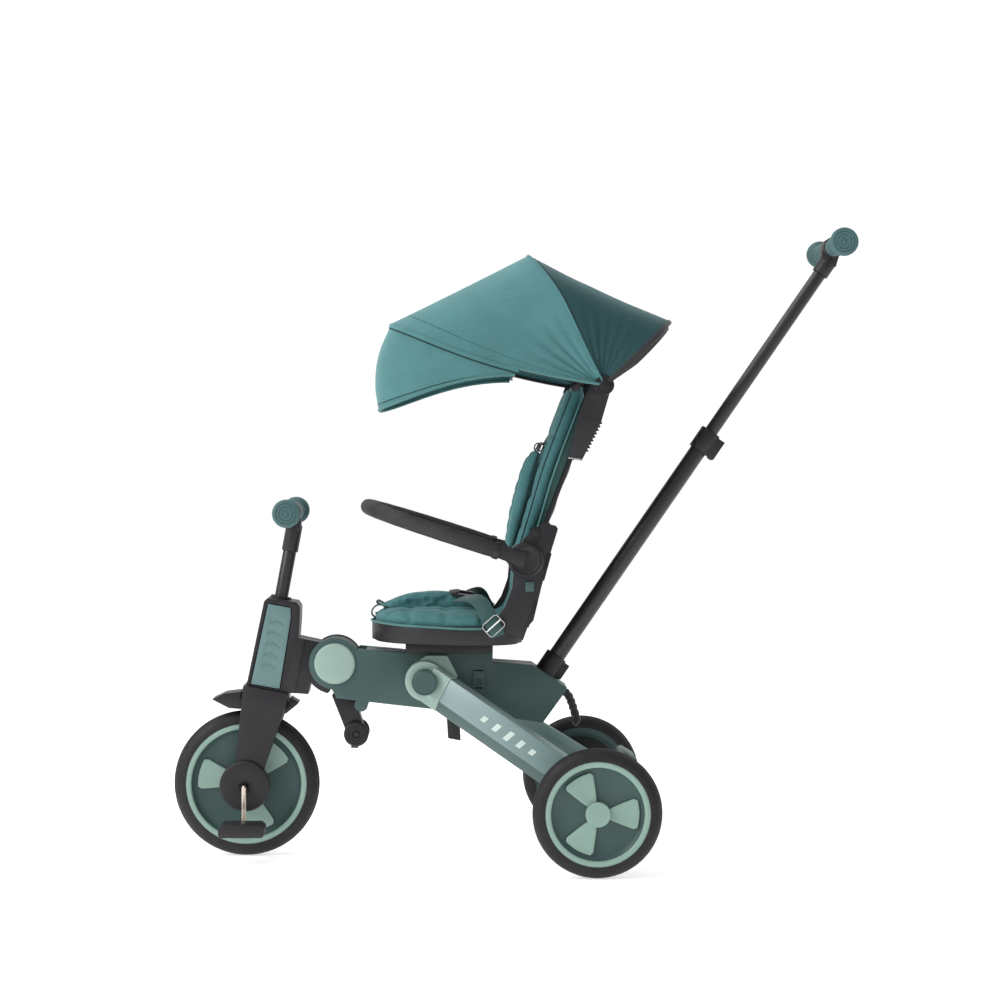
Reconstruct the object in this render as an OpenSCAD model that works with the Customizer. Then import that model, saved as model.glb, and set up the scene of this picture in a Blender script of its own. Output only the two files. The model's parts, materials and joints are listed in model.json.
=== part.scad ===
// Folding children's tricycle with a swivel seat, a safety bar, a sun canopy and a parent push bar.
// It rides towards -X, the rider's left is -Y and up is +Z. The origin is on the ground, below the
// middle of the overall length.

/* [Overall] */
// Length from the front tyre to the push bar's grips
overall_length = 1112; // [1106:1:1118]
// Height of the push bar's handle axis
handle_height = 1004.5; // [1000:0.5:1009]

/* [Wheels] */
// Front wheel diameter over the tyre
front_wheel_d = 240; // [236:1:242]
// Front tyre width
front_tyre_w = 38; // [34:1:40]
// Rear wheel diameter over the tyre
rear_wheel_d = 204; // [198:1:208]
// Rear tyre width
rear_tyre_w = 36; // [32:1:38]
// Distance between the front and rear axles
wheelbase = 566; // [562:1:570]
// Distance between the middles of the rear tyres
rear_track = 440; // [436:1:448]

/* [Steering] */
// Backward lean of the steering axis, in degrees
steer_lean = 10.5; // [10:0.1:11]
// Half the length of the handlebar over its grips
bar_half = 125; // [120:1:130]
// Radius of a grip
grip_r = 15.5; // [14.5:0.1:16.5]
// Radius of the round end of a grip
grip_end_r = 23; // [21:0.5:24]
// Distance from the wheel axle to a pedal's spindle
crank_throw = 62; // [58:1:66]

/* [Frame] */
// Half the width of the main beam
beam_half = 38; // [37:0.5:39]
// Radius of the main beam's round front end
beam_end_r = 42.5; // [42:0.1:43]
// Radius of the mint cap on the front folding joint
pivot_cap_r = 33.5; // [30:0.5:36]
// Radius of the mint knuckle where a rear leg turns
leg_knuckle_r = 32; // [31:0.5:33]

/* [Push bar] */
// Outer radius of the lower push tube
lower_tube_r = 14; // [13.5:0.1:14.5]
// Outer radius of the upper push tube
upper_tube_r = 11; // [10.5:0.1:11.5]
// Length of the upper tube that stays inside the lower one
tube_insertion = 180; // [150:5:190]

/* [Seat] */
// Radius of the round seat pan
pan_r = 124; // [121:1:126]
// Half the width of the seat's back shell
shell_half = 140; // [138:1:142]
// Half the width of the safety bar, to the middle of its foam
safety_bar_half = 155; // [154:1:158]
// Half the width of the backrest pad
backrest_half = 98; // [92:1:100]

/* [Canopy] */
// Half the width of the canopy
canopy_half = 158; // [154:1:162]
// Thickness of the canopy's cloth panels
canopy_wall = 3; // [2:0.5:4]

/* [Hidden] */
$fn = 64;

// Colours
black = [0.09, 0.09, 0.10];
dark_green = [0.20, 0.32, 0.31];
mint = [0.52, 0.66, 0.61];
teal = [0.17, 0.36, 0.37];
panel_green = [0.36, 0.50, 0.49];
steel = [0.65, 0.65, 0.66];

// Clearances: a turning pin in its hole, a fixed part in its seat, and two faces that pass
turn_gap = 0.05;
seat_gap = 0.05;
face_gap = 0.5;

// Main places
front_axle = [-overall_length / 2 + front_wheel_d / 2, 0, front_wheel_d / 2];
rear_axle_at = [front_axle.x + wheelbase, 0, rear_wheel_d / 2];
fold_at = [-289, 0, 320];
leg_at = [-141, 0, 295];
seat_at = [-105, 0, 357];
hub_at = [20, 0, 495];
canopy_at = [145, 0, 773];
footrest_at = [-246, 0, 252];
peg_at = [-254.5, 0, 203];
push_at = [63, 0, 309];
push_lean = 34.57;
back_lean = 20.9;
bar_rise = 17.8;

// Lengths along the push bar, from push_at
socket_top = 25;
lower_tube_top = 455;
clamp_top = 476;
upper_tube_top = 815;
handle_at = [overall_length / 2 - grip_end_r, 0, handle_height];

// Radii of shafts
crank_r = 4;
fold_pin_r = 6;
leg_pin_r = 8;
axle_r = 5;
stem_r = 11;
hub_pin_r = 6;
spigot_r = 20;

// Walls of the main beam
beam_wall = 7;
beam_inner = beam_half - beam_wall;
knuckle_half = beam_inner - face_gap;

// Upright steering frame: heights above the front axle along the leaning axis
crown_bottom = 139;
crown_top = 161.5;
head_bottom = 162;
head_top = 309;
grip_axis = [-9, 454];

// Rear legs
leg_pitch = 30.8;
leg_yaw = 23.5;
leg_hub_y = 67;
leg_start = 42;
leg_end = 356;
rear_half = rear_track / 2;

// Shapes shared by several parts

module along_y(r, y0, y1) {
  translate([0, y1, 0]) rotate([90, 0, 0]) cylinder(r = r, h = y1 - y0);
}

module side_plate(points, y0, y1) {
  translate([0, y1, 0]) rotate([90, 0, 0]) linear_extrude(y1 - y0) polygon(points);
}

module both_sides() {
  children();
  mirror([0, 1, 0]) children();
}

// A solid of revolution about Y, from a profile of [radius, y] points
module turned(points) {
  rotate([-90, 0, 0]) rotate_extrude() polygon(points);
}

module in_steering() {
  translate(front_axle) rotate([0, steer_lean, 0]) children();
}

module in_push() {
  translate(push_at) rotate([0, push_lean, 0]) children();
}

module in_back() {
  translate(hub_at) rotate([0, back_lean, 0]) children();
}

// A place in the middle plane, in the steering's own frame
function steering_place(p) = [
  (p.x - front_axle.x) * cos(steer_lean) - (p.z - front_axle.z) * sin(steer_lean), 0,
  (p.x - front_axle.x) * sin(steer_lean) + (p.z - front_axle.z) * cos(steer_lean)
];

// One half of the handlebar's or push bar's rubber grips: a sleeve with a mushroom end
module grip() {
  difference() {
    rotate([-90, 0, 0]) rotate_extrude() polygon([
      [0, 24], [grip_r, 24], [grip_r, bar_half - 14], [grip_end_r - 3, bar_half - 12],
      [grip_end_r, bar_half - 9], [grip_end_r, bar_half - 4], [grip_end_r - 4, bar_half], [0, bar_half]
    ]);
    along_y(upper_tube_r + seat_gap, 20, bar_half - 6);
  }
}

// Bar that carries two grips, with a thicker middle
module grip_core() {
  along_y(upper_tube_r, -bar_half + 7, bar_half - 7);
  along_y(17, -23.5, 23.5);
}

// Wheels

module tyre(wheel_d, w) {
  rotate([90, 0, 0]) rotate_extrude() intersection() {
    translate([(wheel_d - w) / 2, 0]) circle(w / 2);
    translate([(wheel_d - w) / 2, -w / 2]) square([w, w]);
  }
}

// Moulded wheel centre, with deep channels between its hub and its outer flange
module rim(wheel_d, w, hub_half, bore) {
  r = (wheel_d - w) / 2;
  turned([
    [bore, -hub_half], [18, -hub_half], [18, -8], [r - 16, -8], [r - 12, -w / 2 + 3], [r, -w / 2 + 3],
    [r, w / 2 - 3], [r - 12, w / 2 - 3], [r - 16, 8], [18, 8], [18, hub_half], [bore, hub_half]
  ]);
}

// Ring, hub ring and three blades of the wheel's light trim, lying on one face. A closed trim has a
// hub cap over the axle's end.
module trim_face(wheel_d, w, blade_in, blade_out, first, closed) {
  r = (wheel_d - w) / 2;
  face = w / 2 - 3;
  hub_top = closed ? hub_y(w) : 11;
  translate([0, face, 0]) turned([[r - 10, 0], [r - 0.5, 0], [r - 1.5, 2.5], [r - 9, 2.5]]);
  for (k = [0:2]) rotate([0, first + 120 * k, 0]) side_plate([
    [blade_in - 1, -9], [blade_out - 6, -20], [blade_out, -15], [blade_out + 2, 0],
    [blade_out, 15], [blade_out - 6, 20], [blade_in - 1, 9]
  ], 8, 11);
  turned([[18 + seat_gap, 8], [blade_in, 8], [blade_in, hub_top], [18 + seat_gap, hub_top]]);
  if (closed) along_y(blade_in, hub_top, hub_top + 4);
}

function hub_y(w) = w / 2 - 1;

module front_tyre() {
  color(black) translate(front_axle) tyre(front_wheel_d, front_tyre_w);
}

module front_rim() {
  color(dark_green) translate(front_axle) rim(front_wheel_d, front_tyre_w, 25, crank_r + seat_gap);
}

module front_trim() {
  color(mint) translate(front_axle) both_sides()
    trim_face(front_wheel_d, front_tyre_w, 24, 78, -47, false);
  color(mint) translate(front_axle) rotate([0, 14, 0]) translate([52, 0, 0]) both_sides()
    side_plate([[-4, -3], [4, -3], [4, 3], [-4, 3]], 8, 14);
}

module crank() {
  shaft = 62;
  outer = 112;
  color(steel) translate(front_axle) {
    along_y(crank_r, -shaft, shaft);
    for (side = [-1, 1]) {
      translate([0, side * shaft, 0]) sphere(crank_r);
      translate([0, side * shaft, side < 0 ? -crank_throw : 0]) cylinder(r = crank_r, h = crank_throw);
      translate([0, side * shaft, side * crank_throw]) sphere(crank_r);
      translate([0, 0, side * crank_throw])
        along_y(crank_r, side < 0 ? -outer : shaft, side < 0 ? -shaft : outer);
    }
  }
}

module pedal(side) {
  at = front_axle + [0, 0, side * crank_throw];
  low = side < 0 ? -118 : 70;
  color(black) translate(at) difference() {
    side_plate([
      [-37, -7], [-33, -11], [33, -11], [37, -7], [37, 4], [31, 10], [-31, 10], [-37, 4]
    ], low, low + 48);
    along_y(crank_r + turn_gap, side < 0 ? -112.5 : 60, side < 0 ? -60 : 112.5);
  }
}

module pedal_left() {
  pedal(-1);
}

module pedal_right() {
  pedal(1);
}

module rear_tyre(side) {
  color(black) translate(rear_axle_at + [0, side * rear_half, 0]) tyre(rear_wheel_d, rear_tyre_w);
}

module rear_rim(side) {
  color(dark_green) translate(rear_axle_at + [0, side * rear_half, 0])
    rim(rear_wheel_d, rear_tyre_w, hub_y(rear_tyre_w), axle_r + turn_gap);
}

module rear_trim(side) {
  color(mint) translate(rear_axle_at + [0, side * rear_half, 0]) mirror([0, side < 0 ? 1 : 0, 0])
    trim_face(rear_wheel_d, rear_tyre_w, 20, 64, 0, true);
  color(black) translate(rear_axle_at + [0, side * rear_half, 0]) mirror([0, side < 0 ? 0 : 1, 0])
    turned([[18.5, 8], [66, 8], [66, 9], [56, 14], [18.5, 14]]);
}

module rear_tyre_left() {
  rear_tyre(-1);
}

module rear_tyre_right() {
  rear_tyre(1);
}

module rear_rim_left() {
  rear_rim(-1);
}

module rear_rim_right() {
  rear_rim(1);
}

module rear_trim_left() {
  rear_trim(-1);
}

module rear_trim_right() {
  rear_trim(1);
}

// Fork, mudguard, stem and handlebar

module fork() {
  leg = [[-33, crown_top], [-30, 130], [-23, 34], [-23, 0], [23, 0], [26, 36], [41, 133], [43, crown_top]];
  color(black) in_steering() difference() {
    union() {
      both_sides() side_plate(leg, 27, 40);
      both_sides() along_y(24, 27, 40);
      side_plate([[-33, crown_top], [-31, crown_bottom], [42, crown_bottom], [43, crown_top]], -28, 28);
    }
    along_y(crank_r + turn_gap, -41, 41);
    translate([0, 0, crown_bottom - 1]) cylinder(r = stem_r + seat_gap, h = 40);
  }
}

module mudguard() {
  wing = [
    [-80, 128], [-62, 141], [-36, 149], [-34.5, 150], [-34.5, crown_bottom - 0.5],
    [45, crown_bottom - 0.5], [45, 153], [61, 147], [44, 127], [20, 122], [-20, 122], [-50, 119]
  ];
  color(black) in_steering() difference() {
    side_plate(wing, -26.5, 26.5);
    along_y(front_wheel_d / 2 + 5, -23, 23);
    along_y(front_wheel_d / 2 + 0.7, -30, 30);
  }
}

module hub_covers() {
  color(black) translate(front_axle) both_sides() turned([
    [crank_r + 1, 40 + seat_gap], [40, 40 + seat_gap], [41.5, 42], [41.5, 45], [39, 47.5],
    [9, 48.5], [9, 46], [crank_r + 1, 46]
  ]);
}

module stem() {
  color(black) in_steering() translate([0, 0, crown_bottom]) difference() {
    cylinder(r = stem_r, h = 430 - crown_bottom);
    translate([0, 0, 8]) cylinder(r = stem_r - 2, h = 500);
  }
}

module handlebar() {
  color(black) in_steering() difference() {
    union() {
      translate([0, 0, 390]) cylinder(r = 13.5, h = 44);
      side_plate([[-13, 425], [13, 425], [9, 446], [5, 454], [-20, 460], [-24, 452], [-16, 438]], -13, 13);
      translate([grip_axis.x, 0, grip_axis.y]) grip_core();
    }
    translate([0, 0, 380]) cylinder(r = stem_r + seat_gap, h = 51);
  }
}

module handlebar_grips() {
  color(teal) in_steering() translate([grip_axis.x, 0, grip_axis.y]) both_sides() grip();
}

// Head: the hinged front of the frame that the fork turns in

head_outline = [
  [-28, head_bottom], [-24.5, 303], [-20, head_top], [28, head_top + 2], [35, 304],
  [39, 278], [41.5, 254], [80, 253], [108, 253], [108, 176], [100, 168], [41, head_bottom]
];
panel_outline = [[-21, 166], [-17, 300], [20, 300], [23.5, 284], [26, 166]];

module head_shell(side) {
  low = side < 0 ? -34 : 0;
  arm = side < 0 ? -knuckle_half : 0;
  pivot = steering_place(fold_at);
  color(black) in_steering() difference() {
    union() {
      intersection() {
        side_plate(head_outline, low, low + 34);
        translate([-60, -60, 150]) cube([112, 120, 200]);
      }
      intersection() {
        side_plate(head_outline, arm, arm + knuckle_half);
        union() {
          translate([40, -60, 150]) cube([34, 120, 200]);
          translate(pivot) along_y(51, -60, 60);
        }
        translate([-60, -60, 100]) cube([172, 120, 300]);
      }
      translate(pivot) along_y(beam_end_r - 2, arm, arm + knuckle_half);
    }
    translate([0, 0, 150]) cylinder(r = 17 + seat_gap, h = 200);
    translate(pivot) along_y(fold_pin_r + turn_gap, -60, 60);
    side_plate([[-23, 164.5], [-18.7, 302], [21.5, 302], [25.5, 284], [28, 164.5]],
               side < 0 ? -35 : 31, side < 0 ? -31 : 35);
    side_plate([[48, 180], [48, 240], [62, 238], [62, 184]], side < 0 ? -24 : 0, side < 0 ? 0 : 24);
  }
}

module head_shell_left() {
  head_shell(-1);
}

module head_shell_right() {
  head_shell(1);
}

module head_panels() {
  color(panel_green) in_steering() both_sides() difference() {
    side_plate(panel_outline, 31 + seat_gap, 34.4);
    for (z = [196:18:268])
      side_plate([[-9, z], [3, z + 7], [15, z], [15, z + 5], [3, z + 12], [-9, z + 5]], 33.6, 35);
  }
}

module head_tube() {
  color(steel) in_steering() translate([0, 0, 168]) difference() {
    cylinder(r = 17, h = 136);
    translate([0, 0, -1]) cylinder(r = 15, h = 140);
  }
}

module headset_bushes() {
  color(black) in_steering() difference() {
    union() {
      translate([0, 0, 168]) cylinder(r = 15 - seat_gap, h = 14);
      translate([0, 0, 290]) cylinder(r = 15 - seat_gap, h = 16);
      translate([0, 0, 304 + seat_gap]) cylinder(r = 17, h = 10);
    }
    translate([0, 0, 160]) cylinder(r = stem_r + turn_gap, h = 160);
  }
}

// Main beam, its joints and the socket of the push bar

beam_outline = [
  [-250.8, 344.5], [-182, 338.5], [-173, 337], [-30, 337], [-30, 321.6], [36, 317], [92.6, 279.4],
  [83, 264], [52, 221.4], [36, 224.5], [-128, 244.8], [-182, 250.9], [-286, 263.1], [-294, 277.5]
];
beam_cavity = [
  [-345, 400], [-238, 400], [-238, 337], [-182, 331.5], [-173, 330], [-37, 330], [-37, 315], [33.6, 310],
  [83, 277], [77, 267], [49, 229], [36.8, 231.5], [-127, 252], [-182, 258], [-222, 262.6],
  [-222, 180], [-345, 180]
];

module beam_shell(side) {
  low = side < 0 ? -beam_half : 0;
  color(dark_green) difference() {
    union() {
      side_plate(beam_outline, low, low + beam_half);
      translate(fold_at) along_y(beam_end_r, low, low + beam_half);
      translate(footrest_at) along_y(11, low, low + beam_half - 1);
    }
    side_plate(beam_cavity, -beam_inner, beam_inner);
    translate(fold_at) along_y(fold_pin_r + seat_gap, -60, 60);
    translate(leg_at) along_y(leg_pin_r + seat_gap, -60, 60);
    translate(footrest_at) along_y(4 + seat_gap, -36, 36);
    in_push() translate([0, 0, -70]) cylinder(r = 18.5 + seat_gap, h = 150);
    if (side < 0) side_plate([[-59, 279], [-47, 279], [-47, 309], [-59, 309]], -50, 0);
  }
}

module beam_shell_left() {
  beam_shell(-1);
}

module beam_shell_right() {
  beam_shell(1);
}

module fold_pivot_caps() {
  color(mint) translate(fold_at) both_sides() turned([
    [0, beam_half + seat_gap], [pivot_cap_r, beam_half + seat_gap], [pivot_cap_r, beam_half + 2.5],
    [pivot_cap_r - 2.5, beam_half + 4.5], [0, beam_half + 6]
  ]);
}

module pivot_pins() {
  color(steel) {
    translate(fold_at) along_y(fold_pin_r, -beam_half, beam_half);
    translate(leg_at) along_y(leg_pin_r, -79, 79);
    translate(footrest_at) along_y(4, -35.5, 35.5);
  }
}

module swivel_base() {
  color(black) {
    translate([-173, -45, 337 + seat_gap]) cube([143, 90, 15]);
    translate([seat_at.x, 0, 352]) cylinder(r = 42, h = 4.4);
    translate([seat_at.x, 0, 352]) cylinder(r = spigot_r, h = 18);
  }
}

module leg_brackets() {
  plate = [
    [-168, 312], [-139, 334], [-105, 334], [-88, 301], [-108, 266], [-150, 260], [-172, 282]
  ];
  color(mint) both_sides() difference() {
    side_plate(plate, beam_half + seat_gap, 51);
    translate(leg_at) along_y(leg_pin_r + seat_gap, 30, 60);
  }
}

// Cylinder with a clamping ear and its screw, for the two tube collars
module collar(r, z0, z1, ear_out) {
  translate([0, 0, z0]) cylinder(r = r, h = z1 - z0);
  translate([r - 8, -9, z0]) cube([ear_out - r + 8, 18, z1 - z0 - 3]);
  translate([ear_out - 6, 0, z0 - 2]) cylinder(r = 4.5, h = 3);
}

module push_bar_socket() {
  color(black) in_push() difference() {
    union() {
      translate([0, 0, -56]) cylinder(r = 18.5, h = 60);
      collar(18.5, -5, socket_top, 27);
    }
    translate([0, 0, -52]) cylinder(r = lower_tube_r + seat_gap, h = 100);
  }
}

module push_tube_lower() {
  color(black) in_push() translate([0, 0, -52]) difference() {
    cylinder(r = lower_tube_r, h = lower_tube_top + 52);
    translate([0, 0, 3]) cylinder(r = lower_tube_r - 1.8, h = 600);
  }
}

module tube_clamp() {
  color(black) in_push() difference() {
    collar(17.5, 438, clamp_top, 29);
    translate([0, 0, 430]) cylinder(r = lower_tube_r + seat_gap, h = lower_tube_top + seat_gap - 430);
    translate([0, 0, 430]) cylinder(r = upper_tube_r + turn_gap, h = 60);
  }
}

// Gathered elastic loop at the tail of the beam and the hanging pull strap below it
loop_path = [[98.5, 262], [102, 250], [106, 237], [109, 224]];
module webbing_loops() {
  color(black) {
    for (k = [0:len(loop_path) - 1])
      translate([loop_path[k].x, 0, loop_path[k].y]) rotate([0, 74, 0]) translate([0, 0, -8.5])
        cylinder(r = 8, h = 17);
    side_plate([[-107, 241], [-85, 238.6], [-85, 187], [-105.5, 182]], -1, 1);
  }
}

module fold_latch() {
  color(dark_green) difference() {
    union() {
      side_plate([[-62.5, 281], [-44, 281], [-44, 308], [-62.5, 308]], -beam_half - 4, -beam_half - 0.5);
      side_plate([[-58.5, 290], [-47.5, 290], [-47.5, 308], [-58.5, 308]], -beam_half - 1, -beam_half + 10);
    }
    for (z = [285:4:293])
      side_plate([[-60, z], [-47, z], [-47, z + 1.6], [-60, z + 1.6]], -beam_half - 5, -beam_half - 3);
  }
}

// Footrest: an arm that hinges on the beam's lugs, with a peg across its end

module footrest_arm() {
  arm = [
    [-295, 266], [-280, 271], [-260, 268], [-246, 260], [-246, 244], [-251, 241], [-242, 212],
    [-272, 196], [-274, 213]
  ];
  color(black) difference() {
    union() {
      side_plate(arm, -20, 20);
      translate(footrest_at) along_y(9, -20, 20);
      translate(peg_at) along_y(17, -20, 20);
      translate(peg_at + [-9.5, -5, -26]) cube([12, 10, 12]);
    }
    translate(fold_at) along_y(52.5, -40, 40);
    side_plate([[-284, 260], [-260, 260], [-254, 228], [-268, 226]], -13, 13);
    translate(peg_at) along_y(6 + seat_gap, -40, 40);
    translate(footrest_at) along_y(4 + turn_gap, -40, 40);
  }
}

module footrest_peg() {
  color(black) translate(peg_at) {
    along_y(6, -21, 21);
    both_sides() difference() {
      turned([[0, 20.5], [20.5, 20.5], [20.5, 29], [18, 32], [0, 32]]);
      along_y(5, 29, 33);
    }
  }
}

// Folding rear legs with their axle and brake

module on_leg(side) {
  mirror([0, side > 0 ? 1 : 0, 0]) translate(leg_at + [0, -leg_hub_y, 0])
    rotate([0, 0, -leg_yaw]) rotate([0, leg_pitch, 0]) children();
}

// Box section with a slanted lower edge, running along the leg from x0 to x1
module leg_bar(x0, x1, grow) {
  translate([x0, 0, 0]) rotate([90, 0, 90]) linear_extrude(x1 - x0) polygon([
    [-15 - grow, 31 + grow], [-15 - grow, -11], [-4, -31 - grow], [11, -31 - grow], [13 + grow, -29],
    [13 + grow, 28], [10, 31 + grow]
  ]);
}

module leg(side) {
  color(panel_green) difference() {
    on_leg(side) leg_bar(leg_start, leg_end, 0);
    translate(rear_axle_at) translate([-30, -167.5, -60]) cube([80, 335, 100]);
    translate([0, side < 0 ? -240 : 197, 0]) cube([300, 43, 300]);
    translate(rear_axle_at) along_y(axle_r + seat_gap, -300, 300);
  }
}

module leg_left() {
  leg(-1);
}

module leg_right() {
  leg(1);
}

module leg_knuckles() {
  color(mint) both_sides() difference() {
    union() {
      translate(leg_at) along_y(leg_knuckle_r, -82, -51.5);
      intersection() {
        on_leg(-1) leg_bar(8, leg_start, 1);
        translate([-300, -110, 200]) cube([400, 58.5, 200]);
      }
      intersection() {
        on_leg(-1) leg_bar(20, leg_start, 1);
        translate([-300, -200, 200]) cube([400, 148.5, 200]);
      }
    }
    translate(leg_at) along_y(leg_pin_r + turn_gap, -79.5, -40);
    translate(leg_at) along_y(20 + seat_gap, -90, -79.5);
  }
}

module leg_hub_caps() {
  color(dark_green) translate(leg_at) both_sides() turned([
    [0, 80], [20, 80], [20, 83.5], [18, 85], [0, 86]
  ]);
}

module rear_axle_beam() {
  box = [[-24, -16], [-14, -24], [16, -24], [24, -14], [24, 20], [14, 30], [-16, 30], [-24, 22]];
  hollow = [[-17, -12], [-12, -18], [12, -18], [17, -10], [17, 16], [10, 23], [-12, 23], [-17, 18]];
  color(dark_green) translate(rear_axle_at) difference() {
    union() {
      side_plate(box, -167, 167);
      both_sides() side_plate([[20, 12], [34, 14], [38, 22], [34, 30], [14, 30]], 52, 60);
    }
    along_y(axle_r + seat_gap, -200, 200);
    both_sides() side_plate(hollow, 8, 160);
    translate([31, 0, 22]) along_y(3 + turn_gap, -70, 70);
  }
}

module rear_axle() {
  reach = rear_half + hub_y(rear_tyre_w) - face_gap;
  color(steel) translate(rear_axle_at) along_y(axle_r, -reach, reach);
}

module brake_pedal() {
  color(dark_green) translate(rear_axle_at) {
    difference() {
      union() {
        side_plate([[27, 18], [35, 17], [60, 50], [77, 52], [77, 60], [58, 72], [50, 70]], -50, 50);
        translate([31, 0, 22]) along_y(6, -51, 51);
      }
      side_plate([[36, 30], [56, 56], [70, 57], [57, 66], [54, 64]], -44, 44);
    }
    translate([31, 0, 22]) along_y(3, -59, 59);
  }
}

// Seat

module pan_plan(r, half, rear) {
  corner = 50;
  translate([seat_at.x, 0]) circle(r);
  polygon([
    [-165, -r * 0.874], [-80, -half], [rear - corner, -half], [rear - corner, half], [-80, half],
    [-165, r * 0.874]
  ]);
  translate([rear - corner - 1, -half + corner]) square([corner + 1, 2 * (half - corner)]);
  for (side = [-1, 1]) translate([rear - corner, side * (half - corner)]) circle(corner);
}

shell_profile = [
  [-34, 388], [-12, 420], [-1, 450], [3, 495], [17, 528], [48, 554], [69, 549], [72, 544], [61, 508],
  [46, 452], [33, 398], [24, 388], [16, 366]
];

module seat_shell() {
  color(black) difference() {
    union() {
      translate([0, 0, seat_at.z]) linear_extrude(3) pan_plan(pan_r - 6, shell_half - 8, 10);
      translate([0, 0, seat_at.z + 3]) linear_extrude(28) pan_plan(pan_r, shell_half, 16);
      side_plate(shell_profile, -shell_half, shell_half);
      translate([seat_at.x, 0, seat_at.z]) cylinder(r = 30, h = 17);
    }
    difference() {
      translate([0, 0, seat_at.z + 9]) linear_extrude(40) pan_plan(pan_r - 8, shell_half - 12, 5);
      translate([seat_at.x, 0, seat_at.z]) cylinder(r = 30, h = 17);
    }
    side_plate([[-60, 380], [10, 380], [24, 398], [34, 452], [48, 505], [60, 560], [-60, 560]],
               -shell_half + 12, shell_half - 12);
    side_plate([[20, 505], [90, 498], [90, 570], [20, 570]], -shell_half + 12, shell_half - 12);
    translate([seat_at.x, 0, seat_at.z - 5]) cylinder(r = spigot_r + turn_gap, h = 18.5);
    translate(hub_at) along_y(hub_pin_r + turn_gap, -160, 160);
    both_sides() side_plate([[19.7, 443.7], [34.3, 443.7], [34.3, 460.3], [19.7, 460.3]], 120, 160);
    both_sides() side_plate([[47, 470], [51, 470], [42, 425], [38, 425]], shell_half - 4, shell_half + 5);
  }
}

liner_profile = [
  [-50, 400.5], [-34, 381], [6, 381], [18, 400], [28, 452], [33, 478], [16, 478], [10, 455],
  [-6, 424], [-18, 412]
];

module seat_pad() {
  color(teal) difference() {
    union() {
      translate([0, 0, seat_at.z + 9.5]) linear_extrude(34) difference() {
        pan_plan(pan_r - 11, shell_half - 32, -12);
        translate([-24, -200]) square([80, 400]);
      }
      side_plate(liner_profile, -104, 104);
    }
    translate([seat_at.x, 0, seat_at.z]) cylinder(r = 31, h = 17.5);
  }
}

// Padded waist piece lying over the seat pad, and the two side straps with their buckles
module harness() {
  color(teal) {
    side_plate([
      [-213, 418], [-190, 434], [-150, 439], [-95, 439], [-62, 430], [-50, 418], [-70, 409],
      [-150, 407], [-195, 411]
    ], -45, 45);
    both_sides() side_plate([[-33, 420], [-16, 428], [-4, 405], [-23, 403]], 110, 112.5);
    both_sides() side_plate([[-30, 406], [-13, 402], [-7, 408], [-24, 416]], 113, 116);
  }
}

module seat_button(side) {
  low = side < 0 ? -shell_half - 2.5 : shell_half - 8;
  color(panel_green)
    side_plate([[20, 444], [34, 444], [34, 460], [20, 460]], low, low + 10.5);
}

module seat_button_left() {
  seat_button(-1);
}

module seat_button_right() {
  seat_button(1);
}

// Safety bar: its own x runs forwards from the hub, in the plane of the hoop
module in_bar() {
  translate(hub_at) rotate([0, bar_rise, 0]) children();
}

bar_tip = 268;
bar_foam_start = 54;

module safety_bar_foam() {
  straight = bar_tip - safety_bar_half;
  color(black) in_bar() {
    translate([-straight, 0, 0]) rotate([0, 0, 90]) rotate_extrude(angle = 180)
      translate([safety_bar_half, 0]) circle(12.5);
    for (side = [-1, 1]) translate([-straight, side * safety_bar_half, 0]) rotate([0, 90, 0])
      cylinder(r = 12.5, h = straight - bar_foam_start);
  }
}

module safety_bar_ends() {
  color(black) both_sides() {
    in_bar() {
      translate([-bar_foam_start + seat_gap, safety_bar_half, 0]) rotate([0, 90, 0])
        cylinder(r = 13.5, h = 10);
      side_plate([[-bar_foam_start + 5, -10], [0, -13], [0, 13], [-bar_foam_start + 5, 10]],
                 shell_half + 4, safety_bar_half + 5);
    }
    translate(hub_at) turned([
      [0, shell_half + 0.6], [28, shell_half + 0.6], [28.5, shell_half + 3], [28.5, shell_half + 15],
      [25.5, shell_half + 19], [21.5, shell_half + 19], [21, shell_half + 18], [0, shell_half + 18]
    ]);
    translate(hub_at) along_y(hub_pin_r, shell_half - 5.5, shell_half + 1);
  }
}

// Backrest: its own z runs up the leaning back, from the hub

module backrest_frame() {
  color(black) in_back() {
    translate([9, -104, 8]) cube([6, 208, 266]);
    both_sides() {
      translate([-6, 97, -8]) cube([22, 7, 34]);
      along_y(hub_pin_r, 97, shell_half - 6.5);
    }
  }
}

module backrest_pad() {
  color(teal) in_back() side_plate([
    [-17, -6], [-9, -12], [2, -12], [8.5, 4], [8.5, 268], [2, 276], [-20, 276], [-29, 268],
    [-30, 150], [-24.5, 83], [-20, 20]
  ], -backrest_half + 2, backrest_half - 2);
}

module shoulder_pads() {
  color(teal) in_back() both_sides() side_plate([
    [-20, 12], [-30, 6], [-38, 20], [-47, 80], [-52, 144], [-46, 170], [-32, 180], [-30.5, 150],
    [-25, 83]
  ], 20, 68);
}

// Canopy. Each hoop is an arch that stands on the canopy's pivot line, turned to its own angle.

function arch(half, high, n) = [
  for (a = [0:7.5:180])
    [half * sign(cos(a)) * pow(abs(cos(a)), 2 / n), high * pow(sin(a), 2 / n)]
];

// Hoop as a thin slab: angle is measured up from +X, and the slab lies ahead of or behind its plane
slab = 0.2;
module hoop(angle, half, high, n, behind) {
  translate(canopy_at) rotate([0, 90 - angle, 0]) rotate([90, 0, 90])
    translate([0, 0, behind ? -slab : 0]) linear_extrude(slab) polygon(arch(half, high, n));
}

rear_angle = 43.4;
ridge_angle = 118.8;
seam_angle = 166;
brim_angle = 186;
rear_high = 156;
ridge_high = 245;
seam_high = 348;
brim_high = 362;
panel_gap = 1.6;

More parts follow.
